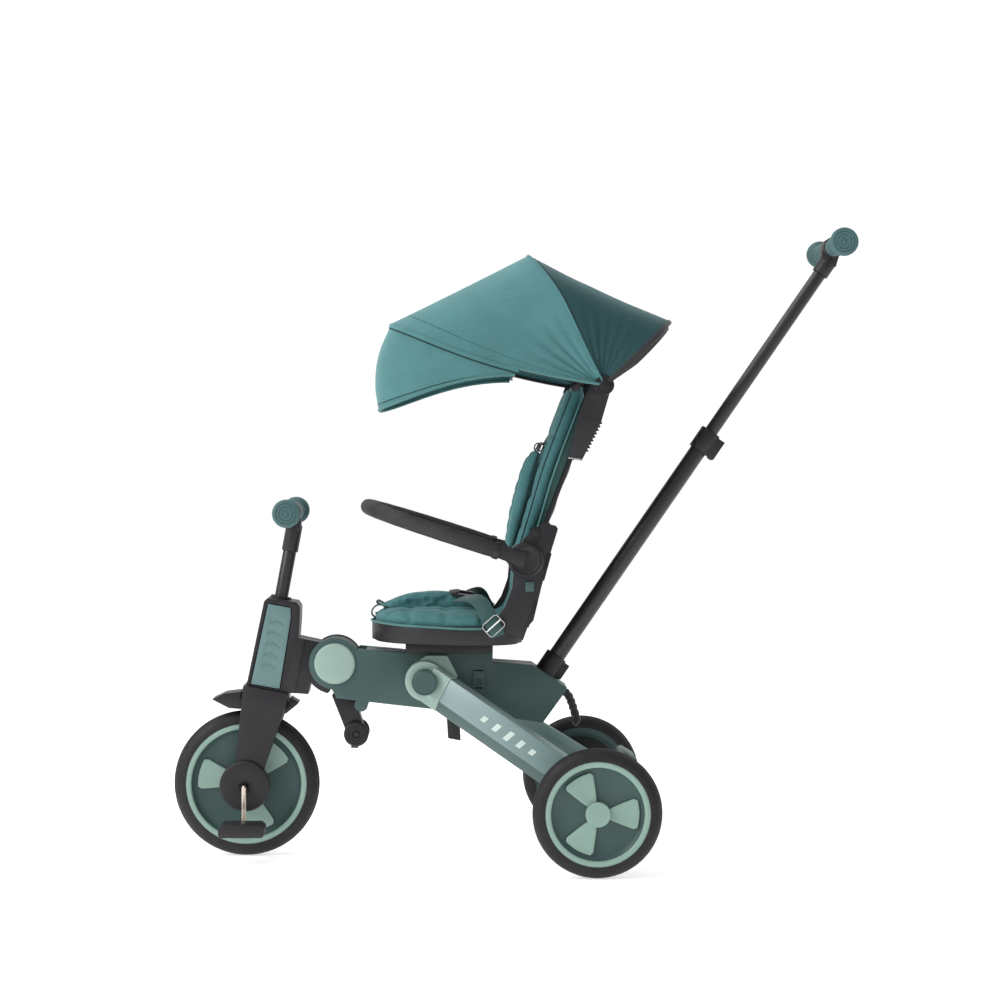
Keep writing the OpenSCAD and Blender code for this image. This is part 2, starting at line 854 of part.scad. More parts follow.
// Cloth between two hoops: a hollow wedge that is open below and keeps clear of the pivot
module cloth(angle_a, high_a, n_a, angle_b, high_b, n_b) {
  inner = canopy_half - canopy_wall;
  difference() {
    hull() {
      hoop(angle_a, canopy_half, high_a, n_a, true);
      hoop(angle_b, canopy_half, high_b, n_b, false);
    }
    hull() {
      hoop(angle_a - 3, inner, high_a - canopy_wall, n_a, true);
      hoop(angle_b + 3, inner, high_b - canopy_wall, n_b, false);
      translate(canopy_at - [4, 0, 60]) cube([8, 2 * inner, 1], center = true);
    }
    translate(canopy_at) along_y(25, -200, 200);
  }
}

module canopy_rear() {
  color(teal) cloth(rear_angle, rear_high, 4, ridge_angle, ridge_high, 3.5);
}

module canopy_front() {
  color(teal) cloth(ridge_angle + panel_gap, ridge_high, 3.5, seam_angle, seam_high, 5);
}

module canopy_visor() {
  color(teal) cloth(seam_angle + panel_gap, seam_high, 5, brim_angle, brim_high, 5);
}

module canopy_bracket() {
  color(black) {
    in_back() both_sides() side_plate([
      [6, 175], [29, 180], [36, 250], [32, 300], [26, 316], [8, 316], [-2, 296], [-2, 258]
    ], 105, 116);
    in_back() translate([16.5, -110, 196]) cube([7, 220, 60]);
    translate(canopy_at) both_sides() along_y(15, 112, canopy_half - canopy_wall - 1.5);
    for (hoop_at = [[ridge_angle - 4, ridge_high - 12], [rear_angle + 6, rear_high - 10]])
      translate(canopy_at) rotate([0, -hoop_at[0], 0]) both_sides()
        translate([0, 144, -3]) cube([hoop_at[1] * 0.35, 5, 6]);
  }
}

// Upper push tube with its handle

module push_tube_upper() {
  color(black) in_push() translate([0, 0, lower_tube_top - tube_insertion]) difference() {
    cylinder(r = upper_tube_r, h = upper_tube_top - lower_tube_top + tube_insertion);
    translate([0, 0, -1]) cylinder(r = upper_tube_r - 1.6, h = 700);
  }
}

module push_handle() {
  neck = 805;
  color(black) {
    in_push() difference() {
      union() {
        translate([0, 0, neck - 12]) cylinder(r = 14, h = 30);
        side_plate([
          [-14, neck + 12], [14, neck + 12], [9, neck + 28], [-1, 846], [-20, 844], [-20, 826]
        ], -13, 13);
      }
      translate([0, 0, neck - 20])
        cylinder(r = upper_tube_r + seat_gap, h = upper_tube_top + seat_gap - neck + 20);
    }
    translate(handle_at) grip_core();
  }
}

module push_grips() {
  color(teal) translate(handle_at) both_sides() grip();
}

beam_shell_left();
beam_shell_right();
fold_pivot_caps();
pivot_pins();
swivel_base();
leg_brackets();
push_bar_socket();
push_tube_lower();
tube_clamp();
webbing_loops();
fold_latch();
head_shell_left();
head_shell_right();
head_panels();
head_tube();
headset_bushes();
footrest_arm();
footrest_peg();
fork();
mudguard();
hub_covers();
stem();
handlebar();
handlebar_grips();
front_tyre();
front_rim();
front_trim();
crank();
pedal_left();
pedal_right();
leg_left();
leg_right();
leg_knuckles();
leg_hub_caps();
rear_axle_beam();
rear_axle();
brake_pedal();
rear_tyre_left();
rear_rim_left();
rear_trim_left();
rear_tyre_right();
rear_rim_right();
rear_trim_right();
seat_shell();
seat_pad();
harness();
seat_button_left();
seat_button_right();
safety_bar_foam();
safety_bar_ends();
backrest_frame();
backrest_pad();
shoulder_pads();
canopy_bracket();
canopy_rear();
canopy_front();
canopy_visor();
push_tube_upper();
push_handle();
push_grips();
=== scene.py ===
"""Looks of the folding children's tricycle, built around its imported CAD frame.

Sizes are written in the part's millimetres: X to the rear, Y to the rider's right, Z up. piece() turns
them into metres. Everything is built on the left (side -1) and on the right (side 1).
"""

import json
import math
from contextlib import contextmanager

import bmesh
import bpy
from mathutils import Matrix, Vector, noise

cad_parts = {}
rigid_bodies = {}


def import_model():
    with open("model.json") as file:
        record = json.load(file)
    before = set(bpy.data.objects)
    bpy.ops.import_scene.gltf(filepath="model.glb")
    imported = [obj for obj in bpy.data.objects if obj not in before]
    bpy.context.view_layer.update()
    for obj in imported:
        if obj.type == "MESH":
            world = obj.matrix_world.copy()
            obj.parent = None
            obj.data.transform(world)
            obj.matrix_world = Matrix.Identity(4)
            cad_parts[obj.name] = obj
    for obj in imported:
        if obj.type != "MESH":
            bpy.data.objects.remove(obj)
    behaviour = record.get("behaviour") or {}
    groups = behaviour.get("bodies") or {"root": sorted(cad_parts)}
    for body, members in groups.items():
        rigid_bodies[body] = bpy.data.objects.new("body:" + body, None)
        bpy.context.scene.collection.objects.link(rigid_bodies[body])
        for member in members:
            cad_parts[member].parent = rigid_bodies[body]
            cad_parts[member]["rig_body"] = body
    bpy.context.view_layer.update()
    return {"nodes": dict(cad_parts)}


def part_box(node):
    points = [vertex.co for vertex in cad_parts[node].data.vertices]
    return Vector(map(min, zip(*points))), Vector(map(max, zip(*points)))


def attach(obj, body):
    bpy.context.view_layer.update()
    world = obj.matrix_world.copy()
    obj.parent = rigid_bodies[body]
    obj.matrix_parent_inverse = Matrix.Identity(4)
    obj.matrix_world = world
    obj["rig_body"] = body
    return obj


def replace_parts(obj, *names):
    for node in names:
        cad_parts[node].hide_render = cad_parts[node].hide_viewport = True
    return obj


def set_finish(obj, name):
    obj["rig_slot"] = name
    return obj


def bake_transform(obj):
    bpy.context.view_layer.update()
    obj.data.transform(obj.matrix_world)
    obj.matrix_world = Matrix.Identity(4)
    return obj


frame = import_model()
scene = bpy.context.scene

MM = 0.001


def mm(x, y, z):
    return Vector((x * MM, y * MM, z * MM))


# ---------------------------------------------------------------- places shared with the CAD

def middle(cad):
    low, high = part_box(cad)
    return (low + high) / 2 / MM


FRONT_AXLE = middle("front_tyre")
REAR_AXLE = middle("rear_tyre_left")
LEG_PIVOT = middle("leg_hub_caps")
GRIP_PUSH = middle("push_grips")
GRIP_BAR = middle("handlebar_grips")
PEG = middle("footrest_peg")
HUB = Vector((20, 0, 495))  # where the safety bar and the backrest turn
CANOPY = Vector((145, 0, 773))  # where the hoops turn
BACK_LEAN = 20.9
BAR_RISE = 17.8


def leaning(origin, degrees, p):
    """A point given in a frame that leans back by that angle about Y."""
    a = math.radians(degrees)
    x, y, z = p
    return Vector((origin[0] + x * math.cos(a) + z * math.sin(a), origin[1] + y,
                   origin[2] - x * math.sin(a) + z * math.cos(a)))


def on_back(x, y, z):
    return leaning(HUB, BACK_LEAN, (x, y, z))


def on_canopy(x, y, z):
    return CANOPY + Vector((x, y, z))


# ---------------------------------------------------------------- materials

BANDS_PER_UNIT = 3.1832  # bands of a Wave texture in one unit, at scale 1


def feed(tree, value, socket):
    """Links a socket into another, or sets a plain value or an RGB colour on it."""
    if isinstance(value, bpy.types.NodeSocket):
        tree.links.new(value, socket)
    else:
        socket.default_value = (*value, 1) if socket.type == "RGBA" else value


def node(tree, kind, inputs, **settings):
    """A new node. Its inputs are named or numbered, and are values or sockets."""
    n = tree.nodes.new(kind)
    for key, value in settings.items():
        setattr(n, key, value)
    for key, value in inputs.items():
        feed(tree, value, n.inputs[key])
    return n


def spread(tree, fac, low, high, from_low=0.3, from_high=0.7):
    """A factor's useful range, mapped onto low to high."""
    return node(tree, "ShaderNodeMapRange", {"Value": fac, "From Min": from_low, "From Max": from_high,
                                             "To Min": low, "To Max": high}).outputs["Result"]


def shade(colour, factor):
    return tuple(min(1.0, c * factor) for c in colour)


class Look:
    """A procedural material in the making."""

    def __init__(self, name):
        self.material = bpy.data.materials.new(name)
        self.material.use_nodes = True
        self.tree = self.material.node_tree
        self.shader = next(n for n in self.tree.nodes if n.type == "BSDF_PRINCIPLED")
        self.plain = self.coords()

    def apply(self, values):
        """Sets or links the shader's sockets."""
        for key, value in values.items():
            feed(self.tree, value, self.shader.inputs[key])
        return self.material

    def coords(self, scale=(1, 1, 1), turn=(0, 0, 0)):
        own = node(self.tree, "ShaderNodeTexCoord", {}).outputs["Object"]
        return node(self.tree, "ShaderNodeMapping",
                    {"Vector": own, "Scale": scale, "Rotation": turn}).outputs["Vector"]

    def noise(self, scale, detail, rough=0.5, at=None):
        at = self.plain if at is None else at
        return node(self.tree, "ShaderNodeTexNoise", {"Vector": at, "Scale": scale, "Detail": detail,
                                                      "Roughness": rough}).outputs["Fac"]

    def span(self, fac, low, high, from_low=0.3, from_high=0.7):
        return spread(self.tree, fac, low, high, from_low, from_high)

    def patches(self, scale, detail, low, high, from_low=0.3, from_high=0.7, rough=0.5, at=None):
        """Noise mapped onto low to high."""
        return self.span(self.noise(scale, detail, rough, at), low, high, from_low, from_high)

    def cells(self, scale, randomness=1.0):
        return node(self.tree, "ShaderNodeTexVoronoi", {"Vector": self.plain, "Scale": scale,
                                                        "Randomness": randomness}).outputs["Distance"]

    def bands(self, period_mm, distortion, turn, axis="X"):
        """Parallel bands of that period, across one axis of the turned coordinates."""
        return node(self.tree, "ShaderNodeTexWave",
                    {"Vector": self.coords(turn=turn), "Scale": 1 / (period_mm * MM) / BANDS_PER_UNIT,
                     "Distortion": distortion, "Detail": 1.0, "Detail Scale": 1.5},
                    bands_direction=axis).outputs["Fac"]

    def sum(self, a, b):
        return node(self.tree, "ShaderNodeMath", {0: a, 1: b}, operation="ADD").outputs[0]

    def mix(self, fac, a, b):
        return node(self.tree, "ShaderNodeMix", {0: fac, 6: a, 7: b}, data_type="RGBA").outputs[2]

    def worn(self, base, wear, amount):
        """Lighter along convex edges, where hands and the ground rub them."""
        pointed = node(self.tree, "ShaderNodeNewGeometry", {}).outputs["Pointiness"]
        return self.mix(self.span(pointed, 0, amount, 0.515, 0.60), base, wear)

    def bump(self, height, strength, distance_mm):
        n = node(self.tree, "ShaderNodeBump", {"Height": height, "Strength": strength,
                                               "Distance": distance_mm * MM})
        self.apply({"Normal": n.outputs["Normal"]})


def moulded(name, colour, rough=0.45, grain=0.12, wear=0.35):
    """Moulded plastic with spark-eroded grain, soft mottling and slightly rubbed edges."""
    look = Look(name)
    base = look.mix(look.patches(9, 4, 0, 1), shade(colour, 0.9), shade(colour, 1.08))
    base = look.mix(look.patches(420, 2, 0, 0.10), base, shade(colour, 1.6))
    look.bump(look.noise(700, 2), grain, 0.25)
    return look.apply({"Base Color": look.worn(base, shade(colour, 1.8), wear), "Specular IOR Level": 0.4,
                       "Roughness": look.patches(22, 5, rough - 0.06, rough + 0.07)})


def coated(name, colour):
    """Satin powder coat: orange peel and a few light scuffs."""
    look = Look(name)
    peel = look.noise(260, 3)
    scuffs = look.patches(1.0, 6, 0, 0.5, 0.62, 0.75, 0.7, look.coords((40, 40, 260)))
    base = look.mix(look.patches(6, 3, 0, 1), shade(colour, 0.85), shade(colour, 1.15))
    base = look.mix(scuffs, base, shade(colour, 2.0))
    look.bump(peel, 0.10, 0.3)
    return look.apply({"Base Color": look.worn(base, shade(colour, 2.2), 0.4), "Specular IOR Level": 0.5,
                       "Roughness": look.span(peel, 0.31, 0.44)})


def leg_paint(name, light, dark):
    """Satin paint with a painted reflection: lighter near the top of the leg and darker down it, with fine
    metallic fleck.
    """
    look = Look(name)
    along = node(look.tree, "ShaderNodeSeparateXYZ", {0: look.plain}).outputs["X"]
    # Painted reflection: light near the top of the leg, dark further down it.
    base = look.mix(look.span(along, 0, 1, -0.11, 0.07), light, dark)
    base = look.mix(look.patches(900, 2, 0, 0.22, 0.55, 0.7), base, shade(light, 1.5))
    look.bump(look.noise(240, 3), 0.06, 0.3)
    return look.apply({"Base Color": look.worn(base, shade(light, 1.3), 0.35), "Metallic": 0.15,
                       "Roughness": look.patches(300, 3, 0.33, 0.42)})


def metal(name, colour, rough, brushed):
    look = Look(name)
    streaks = look.noise(1.0, 4, at=look.coords((30, 900, 30) if brushed else (60, 60, 60)))
    look.bump(streaks, 0.05, 0.1)
    base = look.mix(look.span(streaks, 0, 1), shade(colour, 0.82), shade(colour, 1.1))
    return look.apply({"Base Color": base,
                       "Roughness": look.span(streaks, rough - 0.04, rough + 0.09), "Metallic": 1.0})


def rubber(name, colour, rough, pores=0.3):
    """Dusty rubber with fine pores."""
    look = Look(name)
    base = look.mix(look.patches(14, 5, 0, 0.5, 0.45, 0.75, 0.6), colour, shade(colour, 1.7))
    look.bump(look.noise(500, 3, 0.7), pores, 0.4)
    return look.apply({"Base Color": look.worn(base, shade(colour, 2.2), 0.35), "Specular IOR Level": 0.35,
                       "Roughness": look.patches(60, 4, rough - 0.07, rough + 0.1)})


def foam(name, colour):
    """Closed-cell foam sleeve with round pores."""
    look = Look(name)
    look.bump(look.cells(620.0), 0.35, 0.5)
    base = look.mix(look.patches(18, 4, 0, 1), shade(colour, 0.8), shade(colour, 1.4))
    return look.apply({"Base Color": base, "Roughness": look.patches(30, 4, 0.62, 0.8),
                       "Specular IOR Level": 0.3})


def cloth(name, colour, period=1.5, rib=0.35, sheen=0.35, rough=0.78):
    """Woven polyester: two crossing sets of threads, slub and shade variation, soft sheen."""
    look = Look(name)
    threads = look.sum(look.bands(period, 0.6, (0.6, 0.78, 0.2)), look.bands(period, 0.6, (0.6, -0.78, 0.9)))
    base = look.mix(look.patches(11, 5, 0, 1, rough=0.6), shade(colour, 0.86), shade(colour, 1.12))
    base = look.mix(look.span(threads, 0.28, 0, 0.2, 1.0), base, shade(colour, 0.45))
    slub = look.patches(1.0, 2, 0, 0.25, 0.5, 0.75, at=look.coords((60, 60, 900)))
    look.bump(threads, rib, 0.35)
    return look.apply({"Base Color": look.mix(slub, base, shade(colour, 1.5)), "Specular IOR Level": 0.3,
                       "Roughness": look.patches(40, 3, rough - 0.05, rough + 0.08), "Sheen Weight": sheen,
                       "Sheen Roughness": 0.45, "Sheen Tint": (0.55, 0.85, 0.85)})


def webbing(name, colour):
    """Ribbed strap webbing."""
    look = Look(name)
    weave = look.sum(look.bands(2.2, 0.2, (0, 0.78, 0)), look.bands(1.54, 0.2, (0, -0.78, 0), "Z"))
    base = look.mix(look.span(weave, 0, 1, 0.4, 1.6), shade(colour, 0.6), shade(colour, 1.5))
    look.bump(weave, 0.5, 0.5)
    return look.apply({"Base Color": base, "Roughness": look.patches(80, 3, 0.6, 0.8), "Sheen Weight": 0.2})


def mesh_net(name, colour):
    """Black spacer mesh, with a honeycomb of small holes drawn as pits darkened with painted shade."""
    look = Look(name)
    reach = look.cells(380.0, 0.15)
    pit = look.span(reach, 0, 1, 0.15, 0.45)
    look.bump(pit, 0.6, 0.8)
    return look.apply({"Base Color": look.mix(pit, shade(colour, 0.3), shade(colour, 1.6)),
                       "Roughness": look.span(reach, 0.9, 0.6, 0.1, 0.5)})


BLACK = (0.012, 0.0114, 0.0137)

MAT = {
    "green": moulded("green_plastic", (0.040, 0.080, 0.076), 0.48),
    "mint": moulded("mint_plastic", (0.285, 0.395, 0.35), wear=0.15),
    "rim_mint": moulded("rim_mint_plastic", (0.24, 0.36, 0.31), wear=0.15),
    "panel": moulded("panel_plastic", (0.115, 0.20, 0.20), 0.42, wear=0.2),
    "black": moulded("black_plastic", BLACK, 0.48, wear=0.3),
    "gloss": moulded("black_gloss_plastic", shade(BLACK, 0.8), 0.3, grain=0.05),
    # Near-black for painted shade in recesses, grooves and splits, also used for the canopy's pivot caps.
    "recess": moulded("black_plastic_and_recess_shade", (0.004, 0.004, 0.0045), 0.5, wear=0.0),
    "pale_print": moulded("pale_print", (0.50, 0.60, 0.56), 0.4, wear=0.0),
    "tube": coated("black_tube", (0.016, 0.016, 0.0165)),
    "leg": leg_paint("leg_paint", (0.238, 0.315, 0.318), (0.115, 0.20, 0.19)),
    "leg_dark": leg_paint("leg_paint_dark", (0.075, 0.125, 0.12), (0.045, 0.09, 0.085)),
    "steel": metal("steel", (0.56, 0.56, 0.57), 0.32, True),
    "chrome": metal("warm_chrome", (0.70, 0.62, 0.52), 0.14, False),
    "buckle": metal("buckle_metal", (0.72, 0.72, 0.72), 0.28, False),
    "tyre": rubber("tyre_rubber", (0.013, 0.0125, 0.0135), 0.6),
    "grip": rubber("grip_rubber", (0.052, 0.108, 0.112), 0.55, 0.25),
    "foam": foam("foam_sleeve", (0.028, 0.027, 0.029)),
    "fabric": cloth("teal_fabric", (0.058, 0.180, 0.190), rib=0.3),
    "canopy": cloth("canopy_fabric", (0.070, 0.196, 0.206), 1.2, 0.25, 0.25, 0.72),
    # The rear panel's cloth is the canopy fabric darkened to about a third: painted shade.
    "canopy_shaded": cloth("canopy_shaded_fabric", (0.015, 0.058, 0.064), 1.2, 0.25, 0.2, 0.72),
    "strap": webbing("teal_webbing", (0.022, 0.075, 0.070)),
    "webbing": webbing("black_webbing", (0.018, 0.018, 0.019)),
    # Dark piping; the same material also draws lines of painted shade in the sunk seams and under the brim's
    # hem and lap.
    "piping": cloth("dark_piping_and_seam_shade", (0.012, 0.035, 0.036), 1.0, 0.3, 0.2),
    "light_piping": cloth("light_piping", (0.075, 0.20, 0.195), 1.0, 0.3, 0.3),
    "net": mesh_net("black_mesh", (0.020, 0.020, 0.021)),
}
# each look's material slot in the record
SLOT = {
    "green": "green_plastic", "mint": "mint_plastic", "rim_mint": "mint_plastic",
    "panel": "panel_plastic", "black": "black_plastic", "gloss": "black_plastic",
    "recess": "black_plastic", "pale_print": "mint_plastic", "tube": "black_tube", "leg": "leg_paint",
    "leg_dark": "leg_paint", "steel": "steel", "chrome": "chrome", "buckle": "steel", "tyre": "tyre",
    "grip": "grip_rubber", "foam": "foam", "fabric": "teal_fabric", "canopy": "teal_fabric",
    "canopy_shaded": "teal_fabric", "strap": "teal_fabric", "webbing": "black_webbing",
    "piping": "teal_fabric", "light_piping": "teal_fabric", "net": "black_webbing",
}


# ---------------------------------------------------------------- building pieces

@contextmanager
def editing(mesh):
    """The mesh as a BMesh, written back afterwards."""
    bm = bmesh.new()
    bm.from_mesh(mesh)
    yield bm
    bm.to_mesh(mesh)
    bm.free()


def linked(name, data):
    obj = bpy.data.objects.new(name, data)
    scene.collection.objects.link(obj)
    return obj


def evaluated(obj):
    """Applies the object's modifiers."""
    bpy.context.view_layer.update()
    graph = bpy.context.evaluated_depsgraph_get()
    mesh = bpy.data.meshes.new_from_object(obj.evaluated_get(graph))
    obj.modifiers.clear()
    obj.data = mesh


def smooth(obj, degrees=40):
    """Smooth shading that keeps edges sharper than the angle."""
    limit = math.radians(degrees)
    with editing(obj.data) as bm:
        for edge in bm.edges:
            edge.smooth = len(edge.link_faces) != 2 or edge.calc_face_angle(0) < limit
        for face in bm.faces:
            face.smooth = True


def piece(name, verts, faces, material, body, shading=40):
    """A mesh from points in the part's millimetres, that rides on a body."""
    mesh = bpy.data.meshes.new(name)
    mesh.from_pydata([tuple(Vector(v) * MM) for v in verts], [], faces)
    with editing(mesh) as bm:
        bmesh.ops.recalc_face_normals(bm, faces=bm.faces)
    obj = linked(name, mesh)
    mesh.materials.append(MAT[material])
    smooth(obj, shading)
    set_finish(obj, SLOT[material])
    if body:
        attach(obj, body)
    return obj


def add_modifier(obj, kind, **settings):
    modifier = obj.modifiers.new(kind.lower(), kind)
    for key, value in settings.items():
        setattr(modifier, key, value)
    return modifier


def thickened(obj, thickness):
    """Gives a sheet its thickness, in millimetres."""
    add_modifier(obj, "SOLIDIFY", thickness=thickness * MM, offset=0)
    evaluated(obj)
    smooth(obj, 60)


def bevelled(obj, width, segments=3, degrees=35):
    add_modifier(obj, "BEVEL", width=width * MM, segments=segments, limit_method="ANGLE",
                 angle_limit=math.radians(degrees), use_clamp_overlap=True)
    evaluated(obj)
    smooth(obj, 40)
    return obj


# parts whose small faces would fold over under a free bevel
CLAMPED = ("seat_shell", "head_shell_left", "head_shell_right", "head_panels", "canopy_bracket")


def moulding(cad, material, width=0.9):
    """A CAD node's own shape with its flat faces merged and its edges rounded."""
    source = frame["nodes"][cad]
    bm = bmesh.new()
    bm.from_mesh(source.data)
    bmesh.ops.remove_doubles(bm, verts=bm.verts, dist=0.00001)
    bmesh.ops.dissolve_limit(bm, angle_limit=math.radians(1.0), verts=bm.verts, edges=bm.edges)
    mesh = bpy.data.meshes.new(f"{cad}_skin")
    bm.to_mesh(mesh)
    bm.free()
    obj = linked(f"{cad}_skin", mesh)
    mesh.materials.clear()
    mesh.materials.append(MAT[material])
    add_modifier(obj, "BEVEL", width=width * MM, segments=2, limit_method="ANGLE", loop_slide=False,
                 angle_limit=math.radians(28), use_clamp_overlap=cad in CLAMPED)
    evaluated(obj)
    with editing(obj.data) as bm:
        bmesh.ops.triangulate(bm, faces=[f for f in bm.faces if len(f.verts) > 4])
    smooth(obj, 32)
    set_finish(obj, SLOT[material])
    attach(obj, source["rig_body"])
    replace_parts(obj, cad)
    return obj


def ring_faces(rings, size, closed_loop=False):
    """Faces between rings of that many points each, with caps unless the rings close on themselves."""
    faces = []
    for i in range(rings if closed_loop else rings - 1):
        a, b = i * size, (i + 1) % rings * size
        for j in range(size):
            k = (j + 1) % size
            faces.append((a + j, a + k, b + k, b + j))
    if not closed_loop:
        faces.append(tuple(range(size))[::-1])
        faces.append(tuple((rings - 1) * size + j for j in range(size)))
    return faces


def grid_faces(rows, cols):
    return [(i * cols + j, i * cols + j + 1, (i + 1) * cols + j + 1, (i + 1) * cols + j)
            for i in range(rows - 1) for j in range(cols - 1)]


def smooth_path(points, steps=8, closed=False):
    """Catmull-Rom curve through the points."""
    pts = [Vector(p) for p in points]
    n = len(pts)
    out = []
    for i in range(n if closed else n - 1):
        if closed:
            p0, p1, p2, p3 = (pts[(i + k) % n] for k in (-1, 0, 1, 2))
        else:
            p0, p1, p2, p3 = pts[max(i - 1, 0)], pts[i], pts[i + 1], pts[min(i + 2, n - 1)]
        for s in range(steps):
            t = s / steps
            out.append(0.5 * ((2 * p1) + (p2 - p0) * t + (2 * p0 - 5 * p1 + 4 * p2 - p3) * t * t
                              + (3 * p1 - p0 - 3 * p2 + p3) * t ** 3))
    if not closed:
        out.append(pts[-1])
    return out


def smooth_outline(points, closed=True):
    """A smooth curve through flat points."""
    return [(p.x, p.y) for p in smooth_path([(*q, 0) for q in points], 4, closed)]


def sided_path(points, side, steps):
    """A smooth path through points of the right-hand side, mirrored for the left."""
    return smooth_path([(x, side * y, z) for x, y, z in points], steps)


def circle_profile(radius, count=8):
    return [(radius * math.cos(math.tau * k / count), radius * math.sin(math.tau * k / count))
            for k in range(count)]


def strap_profile(width, thickness):
    """Flat band with rounded edges; the first axis is across the band."""
    w, t = width / 2, thickness / 2
    return [(w, -t * 0.4), (w, t * 0.4), (w - t, t), (-w + t, t), (-w, t * 0.4), (-w, -t * 0.4),
            (-w + t, -t), (w - t, -t)]


def swept(name, path, profile, material, body, across=None, closed=False, scale=None):
    """Sweeps a profile along a path. across keeps the profile's first axis near a fixed direction."""
    pts = [Vector(p) for p in path]
    n = len(pts)
    verts = []
    last = None
    for i, p in enumerate(pts):
        a = pts[(i - 1) % n] if closed or i else pts[0]
        b = pts[(i + 1) % n] if closed or i < n - 1 else pts[-1]
        tangent = (b - a).normalized()
        u = Vector(across) if across else last or tangent.orthogonal()
        u = (u - tangent * u.dot(tangent)).normalized()
        w = tangent.cross(u).normalized()
        last = u
        s = scale(i / (n - 1)) if scale else 1.0
        verts += [p + u * x * s + w * y * s for x, y in profile]
    return piece(name, verts, ring_faces(n, len(profile), closed), material, body, 50)


def lathed(name, centre, profile, material, body, steps=96, face=1):
    """Turns a profile of (radius, along) points about Y through the centre. face -1 mirrors it."""
    centre = Vector(centre)
    verts = []
    for k in range(steps):
        a = math.tau * k / steps
        verts += [centre + Vector((r * math.cos(a), face * y, r * math.sin(a))) for r, y in profile]
    size = len(profile)
    faces = []
    for k in range(steps):
        a, b = k * size, (k + 1) % steps * size
        faces += [(a + j, a + j + 1, b + j + 1, b + j) for j in range(size - 1)]
    obj = piece(name, verts, faces, material, None, 35)
    with editing(obj.data) as bm:
        bmesh.ops.remove_doubles(bm, verts=bm.verts, dist=0.000005)
        bmesh.ops.recalc_face_normals(bm, faces=bm.faces)
    smooth(obj, 35)
    if body:
        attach(obj, body)
    return obj


def slab(name, outline, y0, y1, material, body, place=None, round_by=0.8):
    """An outline of (x, z) points given thickness from y0 to y1, with rounded edges."""
    place = place or (lambda *p: p)
    verts = [place(x, y0, z) for x, z in outline] + [place(x, y1, z) for x, z in outline]
    obj = piece(name, verts, ring_faces(2, len(outline)), material, None)
    if round_by:
        bevelled(obj, round_by)
    if body:
        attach(obj, body)
    return obj


def joined(name, objs, body):
    """Joins small repeated pieces into one object."""
    bm = bmesh.new()
    for o in objs:
        o.data.transform(o.matrix_world)
        bm.from_mesh(o.data)
    mesh = bpy.data.meshes.new(name)
    bm.to_mesh(mesh)
    bm.free()
    mesh.materials.append(objs[0].data.materials[0])
    obj = linked(name, mesh)
    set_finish(obj, objs[0]["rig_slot"])
    for o in objs:
        bpy.data.objects.remove(o)
    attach(obj, body)
    return obj


def stitches(name, path, material, pitch=4.2, length=2.6, radius=0.45):
    """A row of short thread stitches along a path."""
    verts, faces = [], []
    travelled, due = 0.0, pitch / 2
    for a, b in zip(path, path[1:]):
        span = (b - a).length
        while due <= travelled + span and span > 0:
            t = (b - a).normalized()
            c = a + t * (due - travelled)
            u = t.orthogonal().normalized()
            w = t.cross(u).normalized()
            base = len(verts)
            for along, r in ((-length / 2, 0.3), (-length / 4, 1), (length / 4, 1), (length / 2, 0.3)):
                for k in range(5):
                    q = math.tau * k / 5
                    verts.append(c + t * along + (u * math.cos(q) + w * math.sin(q)) * radius * r)
            faces += [tuple(base + i for i in f) for f in ring_faces(4, 5)]
            due += pitch
        travelled += span
    return piece(name, verts, faces, material, None, 60)


def both(build):
    """Builds a piece on the left (-1) and on the right (1)."""
    for side in (-1, 1):
        build(side)


def side_name(side):
    return "left" if side < 0 else "right"


# ---------------------------------------------------------------- rigid parts that keep the CAD shape

MOULDINGS = {
    "green": "beam_shell_left beam_shell_right fold_latch rear_axle_beam brake_pedal seat_button_left "
             "seat_button_right leg_hub_caps",
    "mint": "fold_pivot_caps leg_brackets leg_knuckles",
    "panel": "head_panels",
    "black": "swivel_base push_bar_socket tube_clamp head_shell_left head_shell_right footrest_arm fork "
             "mudguard hub_covers handlebar pedal_left pedal_right seat_shell safety_bar_ends "
             "backrest_frame canopy_bracket push_handle",
    "tube": "push_tube_lower push_tube_upper stem",
    "chrome": "crank",
}
BEVEL_MM = {
    "seat_shell": 1.6, "head_shell_left": 1.4, "head_shell_right": 1.4, "pedal_left": 1.6,
    "pedal_right": 1.6, "beam_shell_left": 1.0, "beam_shell_right": 1.0, "fold_latch": 0.6,
    "head_panels": 0.3, "seat_button_left": 1.0, "seat_button_right": 1.0, "safety_bar_ends": 1.2,
    "push_tube_lower": 0.3, "push_tube_upper": 0.3, "stem": 0.3, "crank": 0.2, "fork": 1.6,
}
for material, names in MOULDINGS.items():
    for cad in names.split():
        moulding(cad, material, BEVEL_MM.get(cad, 0.9))

for cad, material in (("pivot_pins", "steel"), ("head_tube", "steel"), ("rear_axle", "steel"),
                      ("headset_bushes", "black")):
    obj = frame["nodes"][cad]
    obj.data.materials.clear()
    obj.data.materials.append(MAT[material])
    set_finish(obj, SLOT[material])


# ---------------------------------------------------------------- rear legs: lighter upper facets, darker lower facets, each with a painted reflection

LEG_PITCH, LEG_YAW, LEG_HUB_Y = 30.8, 23.5, 67
LOWER_FACETS = -11.5  # the dark facets lie below this height in the leg's own frame


def on_leg(side, x, y, z):
    """A point in a leg's own frame, where x runs down the leg and -y is its outer face."""
    p = Vector((x, y, z))
    p.rotate(Matrix.Rotation(math.radians(LEG_PITCH), 3, "Y"))
    p.rotate(Matrix.Rotation(math.radians(-LEG_YAW), 3, "Z"))
    p += Vector((LEG_PIVOT.x, -LEG_HUB_Y, LEG_PIVOT.z))
    return p if side < 0 else Vector((p.x, -p.y, p.z))


